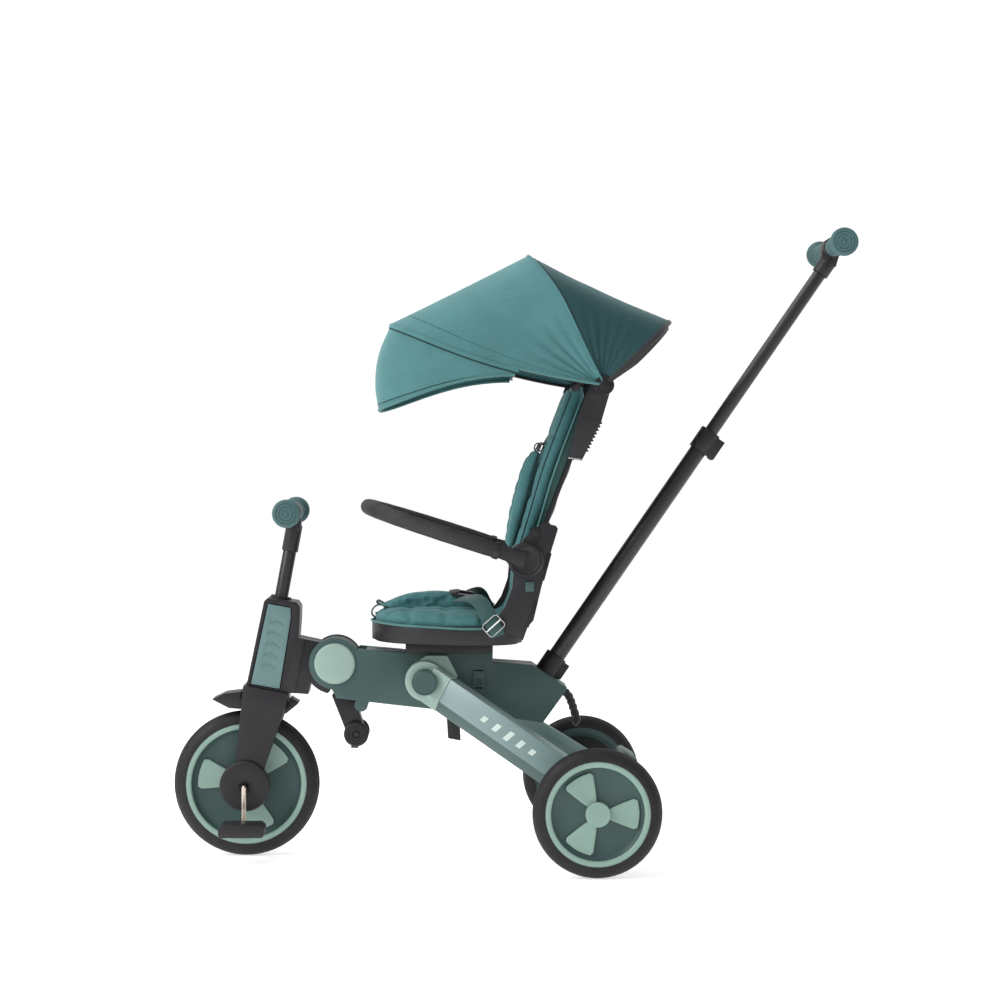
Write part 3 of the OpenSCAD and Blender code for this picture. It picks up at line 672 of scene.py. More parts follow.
def leg_skin(side):
    obj = moulding(f"leg_{side_name(side)}", "leg", 1.6)
    obj.data.materials.append(MAT["leg_dark"])
    origin = on_leg(side, 0, 0, 0) * MM
    up = (on_leg(side, 0, 0, 1) - on_leg(side, 0, 0, 0)).normalized()
    for face in obj.data.polygons:
        if (face.center - origin).dot(up) < LOWER_FACETS * MM:
            face.material_index = 1


both(leg_skin)


def leg_print(side):
    """A plain row of slanted bars printed on the outer face, the middle one tallest."""
    bars = []
    for k in range(5):
        x0 = 118 + 24 * k
        tall = 9 - abs(k - 2) * 2
        outline = [(x0, -tall), (x0 + 9, -tall), (x0 + 9 + tall * 0.7, tall), (x0 + tall * 0.7, tall)]
        verts = [on_leg(side, x, y, z + 8) for y in (-15.05, -15.45) for x, z in outline]
        bars.append(piece(f"bar_{side_name(side)}_{k}", verts, ring_faces(2, 4), "pale_print", None))
    joined(f"leg_bars_{side_name(side)}", bars, "rear_frame")


both(leg_print)

# ---------------------------------------------------------------- wheels

# half is half the tyre's width; inner to outer is a blade's reach, narrow to wide its half width
FRONT_WHEEL = {"r": 120, "half": 19, "bore": 4.2, "hub_half": 25, "faces": (-1, 1), "cap": False,
               "angles": (47, 167, 287), "inner": 22, "outer": 77, "narrow": 9, "wide": 27}
REAR_WHEEL = {"r": 102, "half": 18, "bore": 5.2, "hub_half": 17, "cap": True,
              "angles": (0, 120, 240), "inner": 18, "outer": 62, "narrow": 8, "wide": 26}


def wheel_parts(tag, centre, spec, body, cads):
    """Tyre with fine tread, green centre, and a light ring with three blades on each open face."""
    half, bore, hub = spec["half"], spec["bore"], spec["hub_half"]
    bead = spec["r"] - half
    tread = []
    for k in range(33):
        a = math.radians(-95 + 190 * k / 32)
        line = 0.9 if abs(a) < 0.75 and k % 4 == 0 else 0.0
        tread.append((bead + half * math.cos(a) - line, half * math.sin(a)))
    inner = (bead - 1.2, -half + 3.4)
    tread = [inner, *tread, (bead - 1.2, half - 3.4), inner]
    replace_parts(lathed(f"{tag}_tyre_tread", centre, tread, "tyre", body, 128), cads[0])

    flange = bead + 0.6
    rim = [(bore, -hub), (17, -hub), (18, -hub + 1), (18, -9), (24, -8.2), (flange - 20, -7.4),
           (flange - 14, -10), (flange - 10.5, -half + 3.4), (flange - 0.6, -half + 2.4), (flange, -half + 4)]
    rim += [(r, -y) for r, y in reversed(rim)] + [(bore, -hub)]
    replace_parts(lathed(f"{tag}_centre", centre, rim, "green", body), cads[1])

    base = half - 3.2
    ring = [(bead - 10.8 + r, base + y) for r, y in ((0, 0), (0.8, 1.8), (2, 2.6), (8.2, 2.6), (9.6, 1.8),
                                                    (10, 0), (0, 0))]
    cap = [(19.4, 8), (19.6, half + 1.2), (18.4, half + 2.6), (12, half + 3.0), (0.01, half + 3.2)]
    trims = []
    for face in spec["faces"]:
        trims.append(lathed("ring", centre, ring, "rim_mint", None, face=face))
        trims += [blade(centre, face, angle, spec) for angle in spec["angles"]]
        if spec["cap"]:
            trims.append(lathed("cap", centre, cap, "rim_mint", None, face=face))
    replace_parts(joined(f"{tag}_trim", trims, body), cads[2])


def blade(centre, face, angle, spec):
    """One fan blade: narrow at the hub, wide and dished at its rounded outer end."""
    rows, cols = 9, 9
    verts = []
    r0, r1 = spec["inner"], spec["outer"]
    for layer in (0, 1):
        for i in range(rows):
            t = i / (rows - 1)
            r = r0 + (r1 - r0) * t
            half_w = spec["narrow"] + (spec["wide"] - spec["narrow"]) * t ** 0.9
            corner = max(0.0, (t - 0.86) / 0.14)
            half_w *= 1 - 0.16 * corner ** 2
            for j in range(cols):
                s = j / (cols - 1) * 2 - 1
                bow = (1 - s * s) * 3.0 * t
                dish = 1.4 * (1 - abs(s)) * math.sin(math.pi * t)
                y = 8.2 if layer == 0 else 11.6 - dish + 1.2 * (1 - t)
                a = math.radians(angle)
                x, z = r + bow, s * half_w
                verts.append(Vector(centre) + Vector((x * math.cos(a) - z * math.sin(a), face * y,
                                                      x * math.sin(a) + z * math.cos(a))))
    size = rows * cols
    faces = []
    for quad in grid_faces(rows, cols):
        faces += [quad, tuple(size + q for q in reversed(quad))]
    edge = [*range(cols), *(i * cols + cols - 1 for i in range(1, rows)),
            *((rows - 1) * cols + j for j in range(cols - 2, -1, -1)),
            *(i * cols for i in range(rows - 2, 0, -1))]
    for a, b in zip(edge, edge[1:] + edge[:1]):
        faces.append((a, b, b + size, a + size))
    obj = piece("blade", verts, faces, "rim_mint", None, 30)
    return bevelled(obj, 0.8, 2, 50)


wheel_parts("front", FRONT_AXLE, FRONT_WHEEL, "front_wheel", ("front_tyre", "front_rim", "front_trim"))


def rear_wheel(side):
    tag = side_name(side)
    centre = Vector((REAR_AXLE.x, -side * REAR_AXLE.y, REAR_AXLE.z))
    body = f"rear_wheel_{tag}"
    wheel_parts(f"rear_{tag}", centre, {**REAR_WHEEL, "faces": (side,)}, body,
                [f"rear_{part}_{tag}" for part in ("tyre", "rim", "trim")])
    cone = [(18.2, 8.0), (66, 8.0), (66, 9), (60, 12), (40, 14.2), (18.4, 14.6)]
    lathed(f"rear_{tag}_inner_cone", centre, cone, "black", body, face=-side)


both(rear_wheel)

# ---------------------------------------------------------------- grips

def grips(tag, centre, cad, body):
    """Rubber grips with fine rings, a raised collar and a round end with rings on its face."""
    outline = [(11.2, 24), (14.6, 24.2), (15.4, 25.2), (15.4, 28)]
    for k in range(19):
        y = 30 + 4.0 * k
        outline += [(15.4, y), (14.7, y + 0.9), (14.7, y + 1.9), (15.4, y + 2.8)]
    outline += [(15.6, 108), (18.5, 110.5), (21.8, 113), (22.9, 116), (22.9, 120), (21.9, 122.6),
                (19.5, 124.2), (17.5, 124.4), (16.8, 123.6), (15.6, 123.6), (14.9, 124.5), (12.4, 124.6),
                (11.7, 123.8), (10.5, 123.8), (9.8, 124.7), (6.4, 124.8), (5.8, 124.0), (3.4, 124.0),
                (2.6, 124.6), (0.01, 124.7)]
    made = [lathed("grip", centre, outline, "grip", None, 64, s) for s in (-1, 1)]
    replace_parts(joined(f"{tag}_rubber", made, body), cad)


grips("bar_grips", GRIP_BAR, "handlebar_grips", "steering")
grips("push_grips", GRIP_PUSH, "push_grips", "push_bar")


# ---------------------------------------------------------------- footrest peg

def footrest_discs():
    """A core with a ringed disc and a hexagon nut at each end."""
    rings = [(4.2, 20.6), (20.3, 20.6), (20.4, 28.6), (19.2, 30.6), (17.6, 31.7), (16.4, 31.7), (15.8, 30.7),
             (13.6, 30.7), (13.0, 31.6), (11.4, 31.6), (10.8, 30.6), (8.6, 30.6), (8.0, 31.5), (6.4, 31.5),
             (6.0, 29.6)]
    made = []
    for s in (-1, 1):
        made.append(lathed("disc", PEG, rings, "black", None, 64, s))
        made.append(slab("nut", circle_profile(5.8, 6), s * 24, s * 29.8, "black", None,
                         lambda *p: PEG + Vector(p), 0.5))
    core = lathed("core", PEG, [(0.01, -24), (5.9, -24), (5.9, 24), (0.01, 24)], "black", None, 48)
    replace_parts(joined("footrest_peg_discs", [*made, core], "footrest"), "footrest_peg")


footrest_discs()

# ---------------------------------------------------------------- safety bar's foam

BAR_TIP, BAR_HALF, FOAM_START = 268, 155, 54  # reach, half width and start of the sleeve, from the hub


def in_bar(x, y):
    return leaning(HUB, BAR_RISE, (x, y, 0))


def bar_path():
    """Two straight arms and the half circle between them."""
    straight = BAR_TIP - BAR_HALF
    arm = [-FOAM_START - (straight - FOAM_START) * k / 6 for k in range(6)]
    turn = [math.pi * k / 40 for k in range(41)]
    return ([in_bar(x, -BAR_HALF) for x in arm]
            + [in_bar(-straight - BAR_HALF * math.sin(a), -BAR_HALF * math.cos(a)) for a in turn]
            + [in_bar(x, BAR_HALF) for x in reversed(arm)])


def foam_width(t):
    end = min(t, 1 - t)
    return 1.0 - 0.05 * math.exp(-end * 60) + 0.008 * math.sin(t * 90)


foam_sleeve = swept("safety_bar_sleeve", bar_path(), circle_profile(12.5, 20), "foam", "safety_bar",
                    scale=foam_width)
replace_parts(foam_sleeve, "safety_bar_foam")
swept("safety_bar_foam_seam", [p + Vector((0, 0, -12.3)) for p in bar_path()[2:-2]],
      circle_profile(0.6, 6), "gloss", "safety_bar")

# ---------------------------------------------------------------- details of the rigid parts

def shell_details(side):
    """Painted shade: near-black slabs in the recesses on the back shell's wing, and a near-black ring in the
    groove on the bar's hub.
    """
    tag = side_name(side)
    face = side * 140.2
    for name, outline in (("upper_slot", [(56, 507), (62, 505), (50, 461), (46, 463)]),
                          ("lower_slot", [(34.5, 430), (39.5, 428), (25, 386), (20.5, 388.5)]),
                          ("recess", [(26, 546), (43, 548), (45, 527), (38, 524), (30, 529)])):
        slab(f"shell_{name}_{tag}", outline, face - 0.4, face + 0.4, "recess", "seat", None, 0.2)
    latch = [(29, 543), (37, 544), (39, 534), (32, 533)]
    slab(f"shell_latch_{tag}", latch, face - 0.5, face + 1.6, "gloss", "seat", None, 0.5)
    # Painted shade: a near-black ring in the groove on the bar's hub.
    ring = [(22.0, 157.4), (23.4, 159.25), (25.0, 159.25), (25.2, 158.4), (22.0, 157.4)]
    lathed(f"hub_ring_{tag}", HUB, ring, "recess", "safety_bar", 64, side)


both(shell_details)


def knuckle_disc(side):
    """Green disc with a groove, over the leg's knuckle."""
    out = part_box("leg_knuckles")[1][1] / MM
    disc = [(0.01, 1.9), (17.6, 1.9), (18.6, 1.2), (19.0, 0.9), (20.2, 1.6), (20.8, 1.2), (21.0, -2.0),
            (0.01, -2.0)]
    lathed(f"knuckle_disc_{side_name(side)}", (LEG_PIVOT.x, 0, LEG_PIVOT.z),
           [(r, out + y) for r, y in disc], "green", "rear_frame", 64, side)


both(knuckle_disc)


def bracket_details(side):
    """Small teeth for the canopy's height along the bracket's rear edge, a split line of painted shade and a
    pale foot.
    """
    tag = side_name(side)
    inner, outer = side * 110 - 5.8, side * 110 + 5.8
    face = side * 116.2
    teeth = []
    for k in range(9):
        z = 196 + 6.2 * k
        x = 29.4 + (z - 180) * 0.1
        outline = [(x - 0.5, z), (x + 2.4, z + 0.8), (x + 2.4, z + 3.2), (x - 0.5, z + 4.0)]
        teeth.append(slab("tooth", outline, inner, outer, "gloss", None, on_back, 0.3))
    joined(f"bracket_teeth_{tag}", teeth, "canopy_mount")
    # Painted shade: a near-black line in the bracket's split.
    slab(f"bracket_split_{tag}", [(2, 246), (35.5, 250), (35.5, 251.4), (2, 247.4)], face - 0.2, face + 0.2,
         "recess", "canopy_mount", on_back, 0.1)
    slab(f"bracket_foot_{tag}", [(7, 175.5), (28, 180.4), (28, 182.4), (7, 177.6)], face - 0.2, face + 0.25,
         "steel", "canopy_mount", on_back, 0.1)


both(bracket_details)

# ---------------------------------------------------------------- canopy

CANOPY_HALF = 158
COLUMNS = 61  # points along each hoop
OPEN_REACH = 128  # the brim hangs free of the front panel's foot beyond this distance from the pivot


def arch(high, n):
    """Superellipse arch of (across, depth) points at even spacing, from the left foot to the right one."""
    fine = []
    for k in range(721):
        a = math.pi * k / 720
        c, s = -math.cos(a), math.sin(a)
        fine.append(Vector((CANOPY_HALF * math.copysign(abs(c) ** (2 / n), c), high * abs(s) ** (2 / n))))
    lengths = [0.0]
    for a, b in zip(fine, fine[1:]):
        lengths.append(lengths[-1] + (b - a).length)
    out, i = [], 0
    for k in range(COLUMNS):
        want = lengths[-1] * k / (COLUMNS - 1)
        while i < len(fine) - 2 and lengths[i + 1] < want:
            i += 1
        t = (want - lengths[i]) / max(lengths[i + 1] - lengths[i], 1e-9)
        out.append(fine[i].lerp(fine[i + 1], min(1, t)))
    return out


def hoop(angle, high, n, shift=None):
    """A hoop's points. shift gives (along X, along Z) for a point across the hoop at some depth."""
    a = math.radians(angle)
    points = []
    for y, d in arch(high, n):
        dx, dz = shift(abs(y) / CANOPY_HALF, d / high) if shift else (0, 0)
        points.append(on_canopy(d * math.cos(a) + dx, y, d * math.sin(a) + dz))
    return points


def ridge_shift(side, depth):
    bow = 10 * math.sin(math.pi * depth ** 2) * side ** 3
    return 0.876 * bow, 0.482 * bow


def seam_shift(side, depth):
    return 0, 7 * (1 - side ** 2) - 13 * math.sin(math.pi * min(1, depth)) * side ** 3


def brim_shift(side, depth):
    return 0, 12 * side ** 4 * depth + 28 * math.sin(math.pi * depth) * side ** 4


# each hoop's angle above the rear, its depth and how square its arch is
REAR = hoop(43.4, 156, 4)
RIDGE = hoop(118.8, 245, 3.5, ridge_shift)
SEAM = hoop(164.2, 354, 5, seam_shift)
BRIM = hoop(186, 362, 5, brim_shift)


def fold_pattern(p, strength):
    """Soft creases that run out from the canopy's pivots, plus a slight unevenness all over."""
    q = p - CANOPY
    reach = math.hypot(q.x, q.z)
    turn = math.atan2(q.z, q.x)
    near = math.exp(-((reach - 70) / 60) ** 2) * (abs(q.y) / CANOPY_HALF) ** 6
    creases = math.sin(turn * 34 + reach * 0.03) * 2.6 * near
    uneven = noise.noise(p * 0.012) * 1.8 + noise.noise(p * 0.035) * 0.5
    return strength * (creases + uneven)


def outward(p, by):
    """The point moved away from the line under the canopy's middle."""
    centre = Vector((CANOPY.x - 60, p.y * 0.35, CANOPY.z))
    return p + (p - centre).normalized() * by


def cloth_point(first, last, t, j, belly, strength=1.0):
    """Point of the sheet between two hoops, a share t of the way along, at column j."""
    low = min(int(j), len(first) - 2)
    part = j - low
    p = first[low].lerp(first[low + 1], part).lerp(last[low].lerp(last[low + 1], part), t)
    side = min(1, abs(p.y) / CANOPY_HALF)
    rise = math.sin(math.pi * t)
    return outward(p, -(belly(side) + fold_pattern(p, strength)) * rise)


def cloth_panel(name, first, last, rows, belly, body, strength=1.0, columns=None, material="canopy"):
    """Sheet between two hoops."""
    columns = columns or range(len(first))
    verts = [cloth_point(first, last, i / (rows - 1), j, belly, strength)
             for i in range(rows) for j in columns]
    obj = piece(name, verts, grid_faces(rows, len(columns)), material, None, 60)
    add_modifier(obj, "SOLIDIFY", thickness=1.2 * MM, offset=0)
    add_modifier(obj, "SUBSURF", levels=1, render_levels=1)
    evaluated(obj)
    smooth(obj, 60)
    if body:
        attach(obj, body)
    return obj


SAG_LENGTH, SAG_AREA = 1.04, 1.02  # how much more cloth a sagging panel needs


def flat_cut(first, last, columns=None):
    """Width, length and area in metres of the flat cloth between two hoops, with a little for the sag."""
    columns = list(columns or range(len(first)))
    gaps = {j: (first[j] - last[j]).length for j in columns}
    arcs, area = [0, 0], 0
    for a, b in zip(columns, columns[1:]):
        steps = [(edge[a] - edge[b]).length for edge in (first, last)]
        arcs = [arc + step for arc, step in zip(arcs, steps)]
        area += sum(steps) / 2 * (gaps[a] + gaps[b]) / 2
    width, length = max(arcs) * MM, max(gaps.values()) * SAG_LENGTH * MM
    return (width, length), min(area * MM * MM * SAG_AREA, width * length)


def gathers(obj):
    """Bakes the transform of the front panel, and of the seams on it, into their meshes."""
    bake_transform(obj)


# Each panel's sag inwards at its middle, for a place 0 to 1 of the way out to the side.

def rear_belly(side):
    return 2.5 + 1.5 * side


def front_belly(side):
    return 1.5 + 4 * side ** 3


def brim_belly(side):
    return -15 * (1 - 0.85 * side ** 4)


def stretched(obj, first, last, cad=None, columns=None):
    size, area = flat_cut(first, last, columns)
    if cad:
        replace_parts(obj, cad)


OPEN_PART = [j for j in range(COLUMNS) if (SEAM[j] - CANOPY).xz.length > OPEN_REACH]
BRIM_TOP = [outward(p, -1.0) for p in SEAM]
BRIM_LOW = [outward(p, 1.0) for p in BRIM]


def canopy():
    # The rear panel gets the darker canopy colour as painted shade.
    rear = cloth_panel("canopy_rear_cloth", REAR, RIDGE, 22, rear_belly, "canopy_mount",
                       material="canopy_shaded")
    stretched(rear, REAR, RIDGE, "canopy_rear")
    front = cloth_panel("canopy_front_cloth", RIDGE, SEAM, 30, front_belly, None)
    stretched(front, RIDGE, SEAM, "canopy_front")
    gathers(front)
    columns = range(OPEN_PART[0], OPEN_PART[-1] + 1)
    brim = cloth_panel("canopy_brim_cloth", BRIM_TOP, BRIM_LOW, 20, brim_belly, "canopy_hood", 1.2, columns)
    stretched(brim, BRIM_TOP, BRIM_LOW, "canopy_visor", columns)


def canopy_seams():
    """Piping along the edges, sunk seams drawn as dark lines of painted shade, and rows of stitches."""
    swept("brim_piping", [BRIM_LOW[j] for j in OPEN_PART], circle_profile(2.6), "light_piping", "canopy_hood")
    hem = [outward(cloth_point(BRIM_TOP, BRIM_LOW, 0.94, j, brim_belly, 1.2), 0.4) for j in OPEN_PART]
    swept("brim_hem_shadow", hem, circle_profile(0.8, 6), "piping", "canopy_hood")
    for tag, line in (("left", SEAM[:OPEN_PART[0] + 2]), ("right", SEAM[OPEN_PART[-1] - 1:])):
        gathers(swept(f"front_hem_{tag}", [outward(p, 0.5) for p in line], circle_profile(2.2),
                      "light_piping", None))
    swept("ridge_seam", [outward(p, 0.6) for p in RIDGE], circle_profile(1.7), "canopy", "canopy_mount")
    # Painted shade: a dark line along the sunk seam at the ridge.
    sunk = [cloth_point(REAR, RIDGE, 0.965, j, rear_belly) for j in range(COLUMNS)]
    swept("ridge_groove_shade", sunk, circle_profile(1.0, 6), "piping", "canopy_mount")
    hem = [cloth_point(RIDGE, SEAM, 0.06, j, front_belly) for j in range(COLUMNS)]
    gathers(stitches("ridge_stitches", hem, "light_piping"))
    # A thin seam line near the front panel's foot, drawn in the darker canopy colour of painted shade.
    seam = [outward(cloth_point(RIDGE, SEAM, 0.88, j, front_belly), 0.1) for j in range(4, COLUMNS - 4)]
    gathers(swept("front_top_seam", seam, circle_profile(0.7, 6), "canopy_shaded", None))
    for tag, mirror in (("left", lambda j: j), ("right", lambda j: COLUMNS - 1 - j)):
        dart = [cloth_point(REAR, RIDGE, t, mirror(j), rear_belly)
                for j, t in ((6.7, 0.33), (8.6, 0.265), (10.6, 0.2))]
        swept(f"rear_dart_{tag}", [outward(p, 0.5) for p in smooth_path(dart, 5)], circle_profile(0.6, 6),
              "piping", "canopy_mount")
    swept("rear_binding", [outward(p, 0.4) for p in REAR], strap_profile(7, 2.2), "webbing", "canopy_mount",
          across=(0.73, 0, -0.68))


def brim_lap():
    """The front panel's lip, which laps over the top of the brim."""
    rows = [(outward(SEAM[j], 0.8), outward(SEAM[j], 3.0) + Vector((0, 0, -2)),
             outward(SEAM[j], 3.6) + Vector((0, 0, -7))) for j in OPEN_PART]
    lap = piece("brim_lap", [p for row in rows for p in row], grid_faces(len(rows), 3), "canopy", None, 60)
    thickened(lap, 1.4)
    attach(lap, "canopy_hood")
    swept("brim_lap_shadow", [row[2] + Vector((0, 0, -1.6)) for row in rows], circle_profile(1.2, 6),
          "piping", "canopy_hood")


def net_edge_point(p):
    """Lower edge of the net: gathered in towards the bracket, deepest halfway up the sides."""
    q = p - CANOPY
    reach = q.xz.length
    drop = 13 * min(1, reach / 70) * (1 - 0.5 * min(1, reach / 156) ** 4)
    return on_canopy(q.x * 0.95 + 4, q.y * 0.95, q.z * 0.95 - drop)


def rear_net():
    top = [outward(p, -1.5) for p in REAR]
    edge = [net_edge_point(p) for p in REAR]
    band = cloth_panel("canopy_rear_net", top, edge, 5, lambda side: 2.0, "canopy_mount", 0.3, material="net")
    stretched(band, top, edge)


def canopy_bows():
    """Bows inside the cloth, the round caps at the pivots and the clips by them."""
    for tag, points, body in (("ridge", RIDGE, "canopy_mount"), ("rear", REAR, "canopy_mount"),
                              ("seam", SEAM, "canopy_hood")):
        swept(f"{tag}_bow", [outward(p, -6.0) for p in points[2:-2]], circle_profile(2.6), "black", body)
    cap = [(0.01, 3.6), (6.6, 3.4), (8.4, 2.0), (8.6, 0), (15.0, -0.6), (15.6, -2.5), (15.6, -7), (0.01, -7)]
    clip = [(-52, -4), (-46, 9), (-12, 12), (-12, 5), (-37, 2), (-38, -8), (-50, -10)]
    for side in (-1, 1):
        tag = side_name(side)
        lathed(f"canopy_pivot_cap_{tag}", on_canopy(0, side * (CANOPY_HALF + 1), 0), cap, "recess",
               "canopy_mount", 48, side)
        slab(f"canopy_clip_{tag}", clip, side * 118 - 4, side * 118 + 4, "gloss", "canopy_mount",
             on_canopy, 1.0)


canopy()
canopy_seams()
brim_lap()
rear_net()
canopy_bows()

# ---------------------------------------------------------------- padded pieces

CLOTH_FRAMES = 20


def puffed(obj, voxel_mm, pressure, cap_mm):
    """Inflates a closed shape as stuffed cloth. No point moves further than the cap."""
    add_modifier(obj, "REMESH", mode="VOXEL", voxel_size=voxel_mm * MM, use_smooth_shade=True)
    evaluated(obj)
    add_modifier(obj, "SMOOTH", factor=0.5, iterations=6)
    evaluated(obj)
    start = [v.co.copy() for v in obj.data.vertices]
    modifier = obj.modifiers.new("cloth", "CLOTH")
    settings = modifier.settings
    settings.quality = 4
    settings.mass = 0.3
    settings.tension_stiffness = settings.compression_stiffness = 12
    settings.bending_stiffness = 0.6
    settings.use_pressure = True
    settings.uniform_pressure_force = pressure
    settings.effector_weights.gravity = 0
    modifier.collision_settings.use_collision = False
    for frame_number in range(1, CLOTH_FRAMES + 1):
        scene.frame_set(frame_number)
    evaluated(obj)
    scene.frame_set(1)
    for v, p in zip(obj.data.vertices, start):
        move = v.co - p
        if move.length > cap_mm * MM:
            v.co = p + move.normalized() * cap_mm * MM


def finished_pad(obj, depth_at, body):
    """Moves each point along its normal by depth_at of its place, then refines the pad."""
    moves = [v.normal * depth_at(v.co / MM, v.normal) * MM for v in obj.data.vertices]
    for v, move in zip(obj.data.vertices, moves):
        v.co += move
    add_modifier(obj, "SUBSURF", levels=1, render_levels=1)
    evaluated(obj)
    smooth(obj, 70)
    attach(obj, body)


def groove(distance, width, depth):
    return -depth * math.exp(-(distance / width) ** 2)


SEAT_X = -105  # centre of the pan's round front
PAN_CORNER = 34


def pan_outline(r, half, rear):
    """The seat pad's plan: a round front, sides that widen to half, and a rear with round corners."""
    front = math.acos(60 / r)
    pts = []
    for k in range(33):
        a = math.pi - front + 2 * front * k / 32
        pts.append((SEAT_X + r * math.cos(a), r * math.sin(a)))
    pts.append((-84, -half))
    for side, start in ((-1, -90), (1, 0)):
        for degrees in (0, 30, 60, 90):
            a = math.radians(start + degrees)
            pts.append((rear - PAN_CORNER + PAN_CORNER * math.cos(a),
                        side * (half - PAN_CORNER) + PAN_CORNER * math.sin(a)))
    pts.append((-84, half))
    return pts


def tufts(p, rows, across, width, depth):
    """Sewn channels: lines at given X and given Y, and a deeper pinch where they cross."""
    return (sum(groove(p.x - x, width, depth) for x in rows)
            + sum(groove(p.y - y, width, depth) for y in across)
            + sum(groove(math.hypot(p.x - x, p.y - y), width * 1.8, depth * 1.2)
                  for x in rows for y in across))


def seat_cushion():
    half = 137

    def droop(y, by, power=4):
        return by * (abs(y) / half) ** power

    outline = pan_outline(125, half + 4, -20)
    verts = [Vector((x, y, 385 - droop(y, 5))) for x, y in outline]
    verts += [Vector((x, y, 405 - droop(y, 4))) for x, y in outline]
    pad = piece("seat_cushion", verts, ring_faces(2, len(outline)), "fabric", None)
    puffed(pad, 5.0, 4.0, 6.0)
    rows, across = (-166, -108, -50), (-66, -22, 22, 66)

    def shape(p, normal):
        top = max(0.0, normal.z)
        wall = max(0.0, 1 - abs(normal.z))
        rim = wall * groove(p.z - 391.5 + droop(p.y, 5, 3), 2.2, 2.0)
        sides = sum(groove(p.x - x, 5.0, 5.0) for x in rows) * wall * min(1, max(0, (p.z - 386) / 8))
        crown = 4.0 * (1 - min(1, math.hypot(p.x - SEAT_X, p.y) / 118) ** 2) * top
        return tufts(p, rows, across, 5.0, 3.4) * top + rim + sides + crown + noise.noise(p * 0.04) * 0.8

    finished_pad(pad, shape, "seat")
    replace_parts(pad, "seat_pad")
    edge = [Vector((SEAT_X + (x - SEAT_X) * 1.03, y * 1.03, 389.5 - droop(y, 5, 3)))
            for x, y in pan_outline(121, half, -22)]
    swept("seat_cushion_piping", edge, circle_profile(1.9), "light_piping", "seat", closed=True)


def seat_liner():
    """Bent pad behind the child: rises from the pan along the back shell."""
    front = [(-40, 397), (-22, 398), (-8, 408), (0, 424), (4, 446), (6, 474), (8, 494)]
    back = [(17, 494), (16, 474), (14, 446), (9, 420), (-1, 400), (-14, 388), (-40, 386)]
    outline = smooth_outline(front, False) + smooth_outline(back, False)
    liner = slab("seat_liner", outline, -100, 100, "fabric", None, round_by=0)
    puffed(liner, 5.0, 3.0, 3.0)

    def shape(p, normal):
        facing = max(0.0, -normal.x + normal.z * 0.6)
        channels = sum(groove(p.y - y, 5, 2.4) for y in (-52, 0, 52)) + groove(p.z - 436, 5, 2.2)
        return channels * facing + noise.noise(p * 0.05) * 0.7

    finished_pad(liner, shape, "seat")
    line = [(x - 0.5, 101, z) for x, z in front]
    for side in (-1, 1):
        swept(f"liner_piping_{side_name(side)}", sided_path(line, side, 5), circle_profile(2.0),
              "light_piping", "seat")


def lap_piece():
    """Padded waist piece that lies on the cushion, its nose towards the front."""
    profile = [(-221, 411), (-204, 418), (-176, 428), (-144, 432), (-106, 433), (-88, 431), (-66, 423),
               (-46, 413), (-62, 409), (-100, 407), (-150, 407.5), (-192, 409)]
    pad = slab("lap_pad", smooth_outline(profile), -42, 42, "fabric", None, round_by=0)
    for v in pad.data.vertices:
        x = v.co.x / MM
        nose = max(0.0, (-150 - x) / 62)
        v.co.y *= 1 - 0.55 * nose ** 2
    puffed(pad, 4.5, 3.0, 4.0)

    def shape(p, normal):
        wall = max(0.0, 1 - abs(normal.z))
        creases = math.sin(p.x * 0.42 + p.z * 0.16) * 0.9 * wall
        seam = groove(p.z - (411 + 0.0006 * (p.x + 120) ** 2), 1.8, 1.6) * wall
        fold = groove(p.x + 84, 4, 2.6) * max(0, normal.z)
        return creases + seam + fold + noise.noise(p * 0.06) * 1.1

    finished_pad(pad, shape, "seat")
    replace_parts(pad, "harness")
    run = [(-209, 15, 412), (-192, 27, 409.5), (-160, 41, 407.5), (-120, 47, 407), (-80, 47, 408.5),
           (-52, 45, 412)]
    for side in (-1, 1):
        swept(f"lap_piping_{side_name(side)}", sided_path(run, side, 6), circle_profile(1.8), "piping",
              "seat")


def seat_straps():
    """Waist straps with their loose tails and locks, and a tab and a loop at the waist piece's nose."""
    run = [(-86, 62, 428), (-74, 90, 431), (-60, 114, 431), (-49, 131, 423), (-42, 140, 410),
           (-34, 144, 396), (-28, 145, 384), (-25, 145, 377)]
    tail = [(-38, 145.5, 402), (-33, 147, 392), (-27, 148, 382), (-24, 148, 373)]
    for side in (-1, 1):
        tag = side_name(side)
        swept(f"waist_strap_{tag}", sided_path(run, side, 6), strap_profile(25, 2.0), "strap", "seat",
              across=(0.93, 0, 0.36))
        swept(f"waist_strap_tail_{tag}", sided_path(tail, side, 5), strap_profile(23, 1.8), "strap", "seat",
              across=(0.90, 0, 0.42))
        ladder_lock(side)
    tab = [(-206, 6, 414), (-214, 6, 419), (-219, 6, 421), (-221, 6, 418), (-214, 6, 414), (-204, 6, 411)]
    loop = [(-210, 0, 415), (-222, 0, 413), (-229, 0, 405), (-228, 0, 397), (-218, 0, 391)]
    for name, points, steps, profile in (("nose_tab", tab, 5, strap_profile(14, 3.2)),
                                         ("nose_loop", loop, 6, strap_profile(12, 2.6))):
        swept(name, smooth_path(points, steps), profile, "strap", "seat", across=(0, 1, 0))


def on_waist(x, y, z):
    return leaning((-72, 0, 433), 12, (x, y, z))


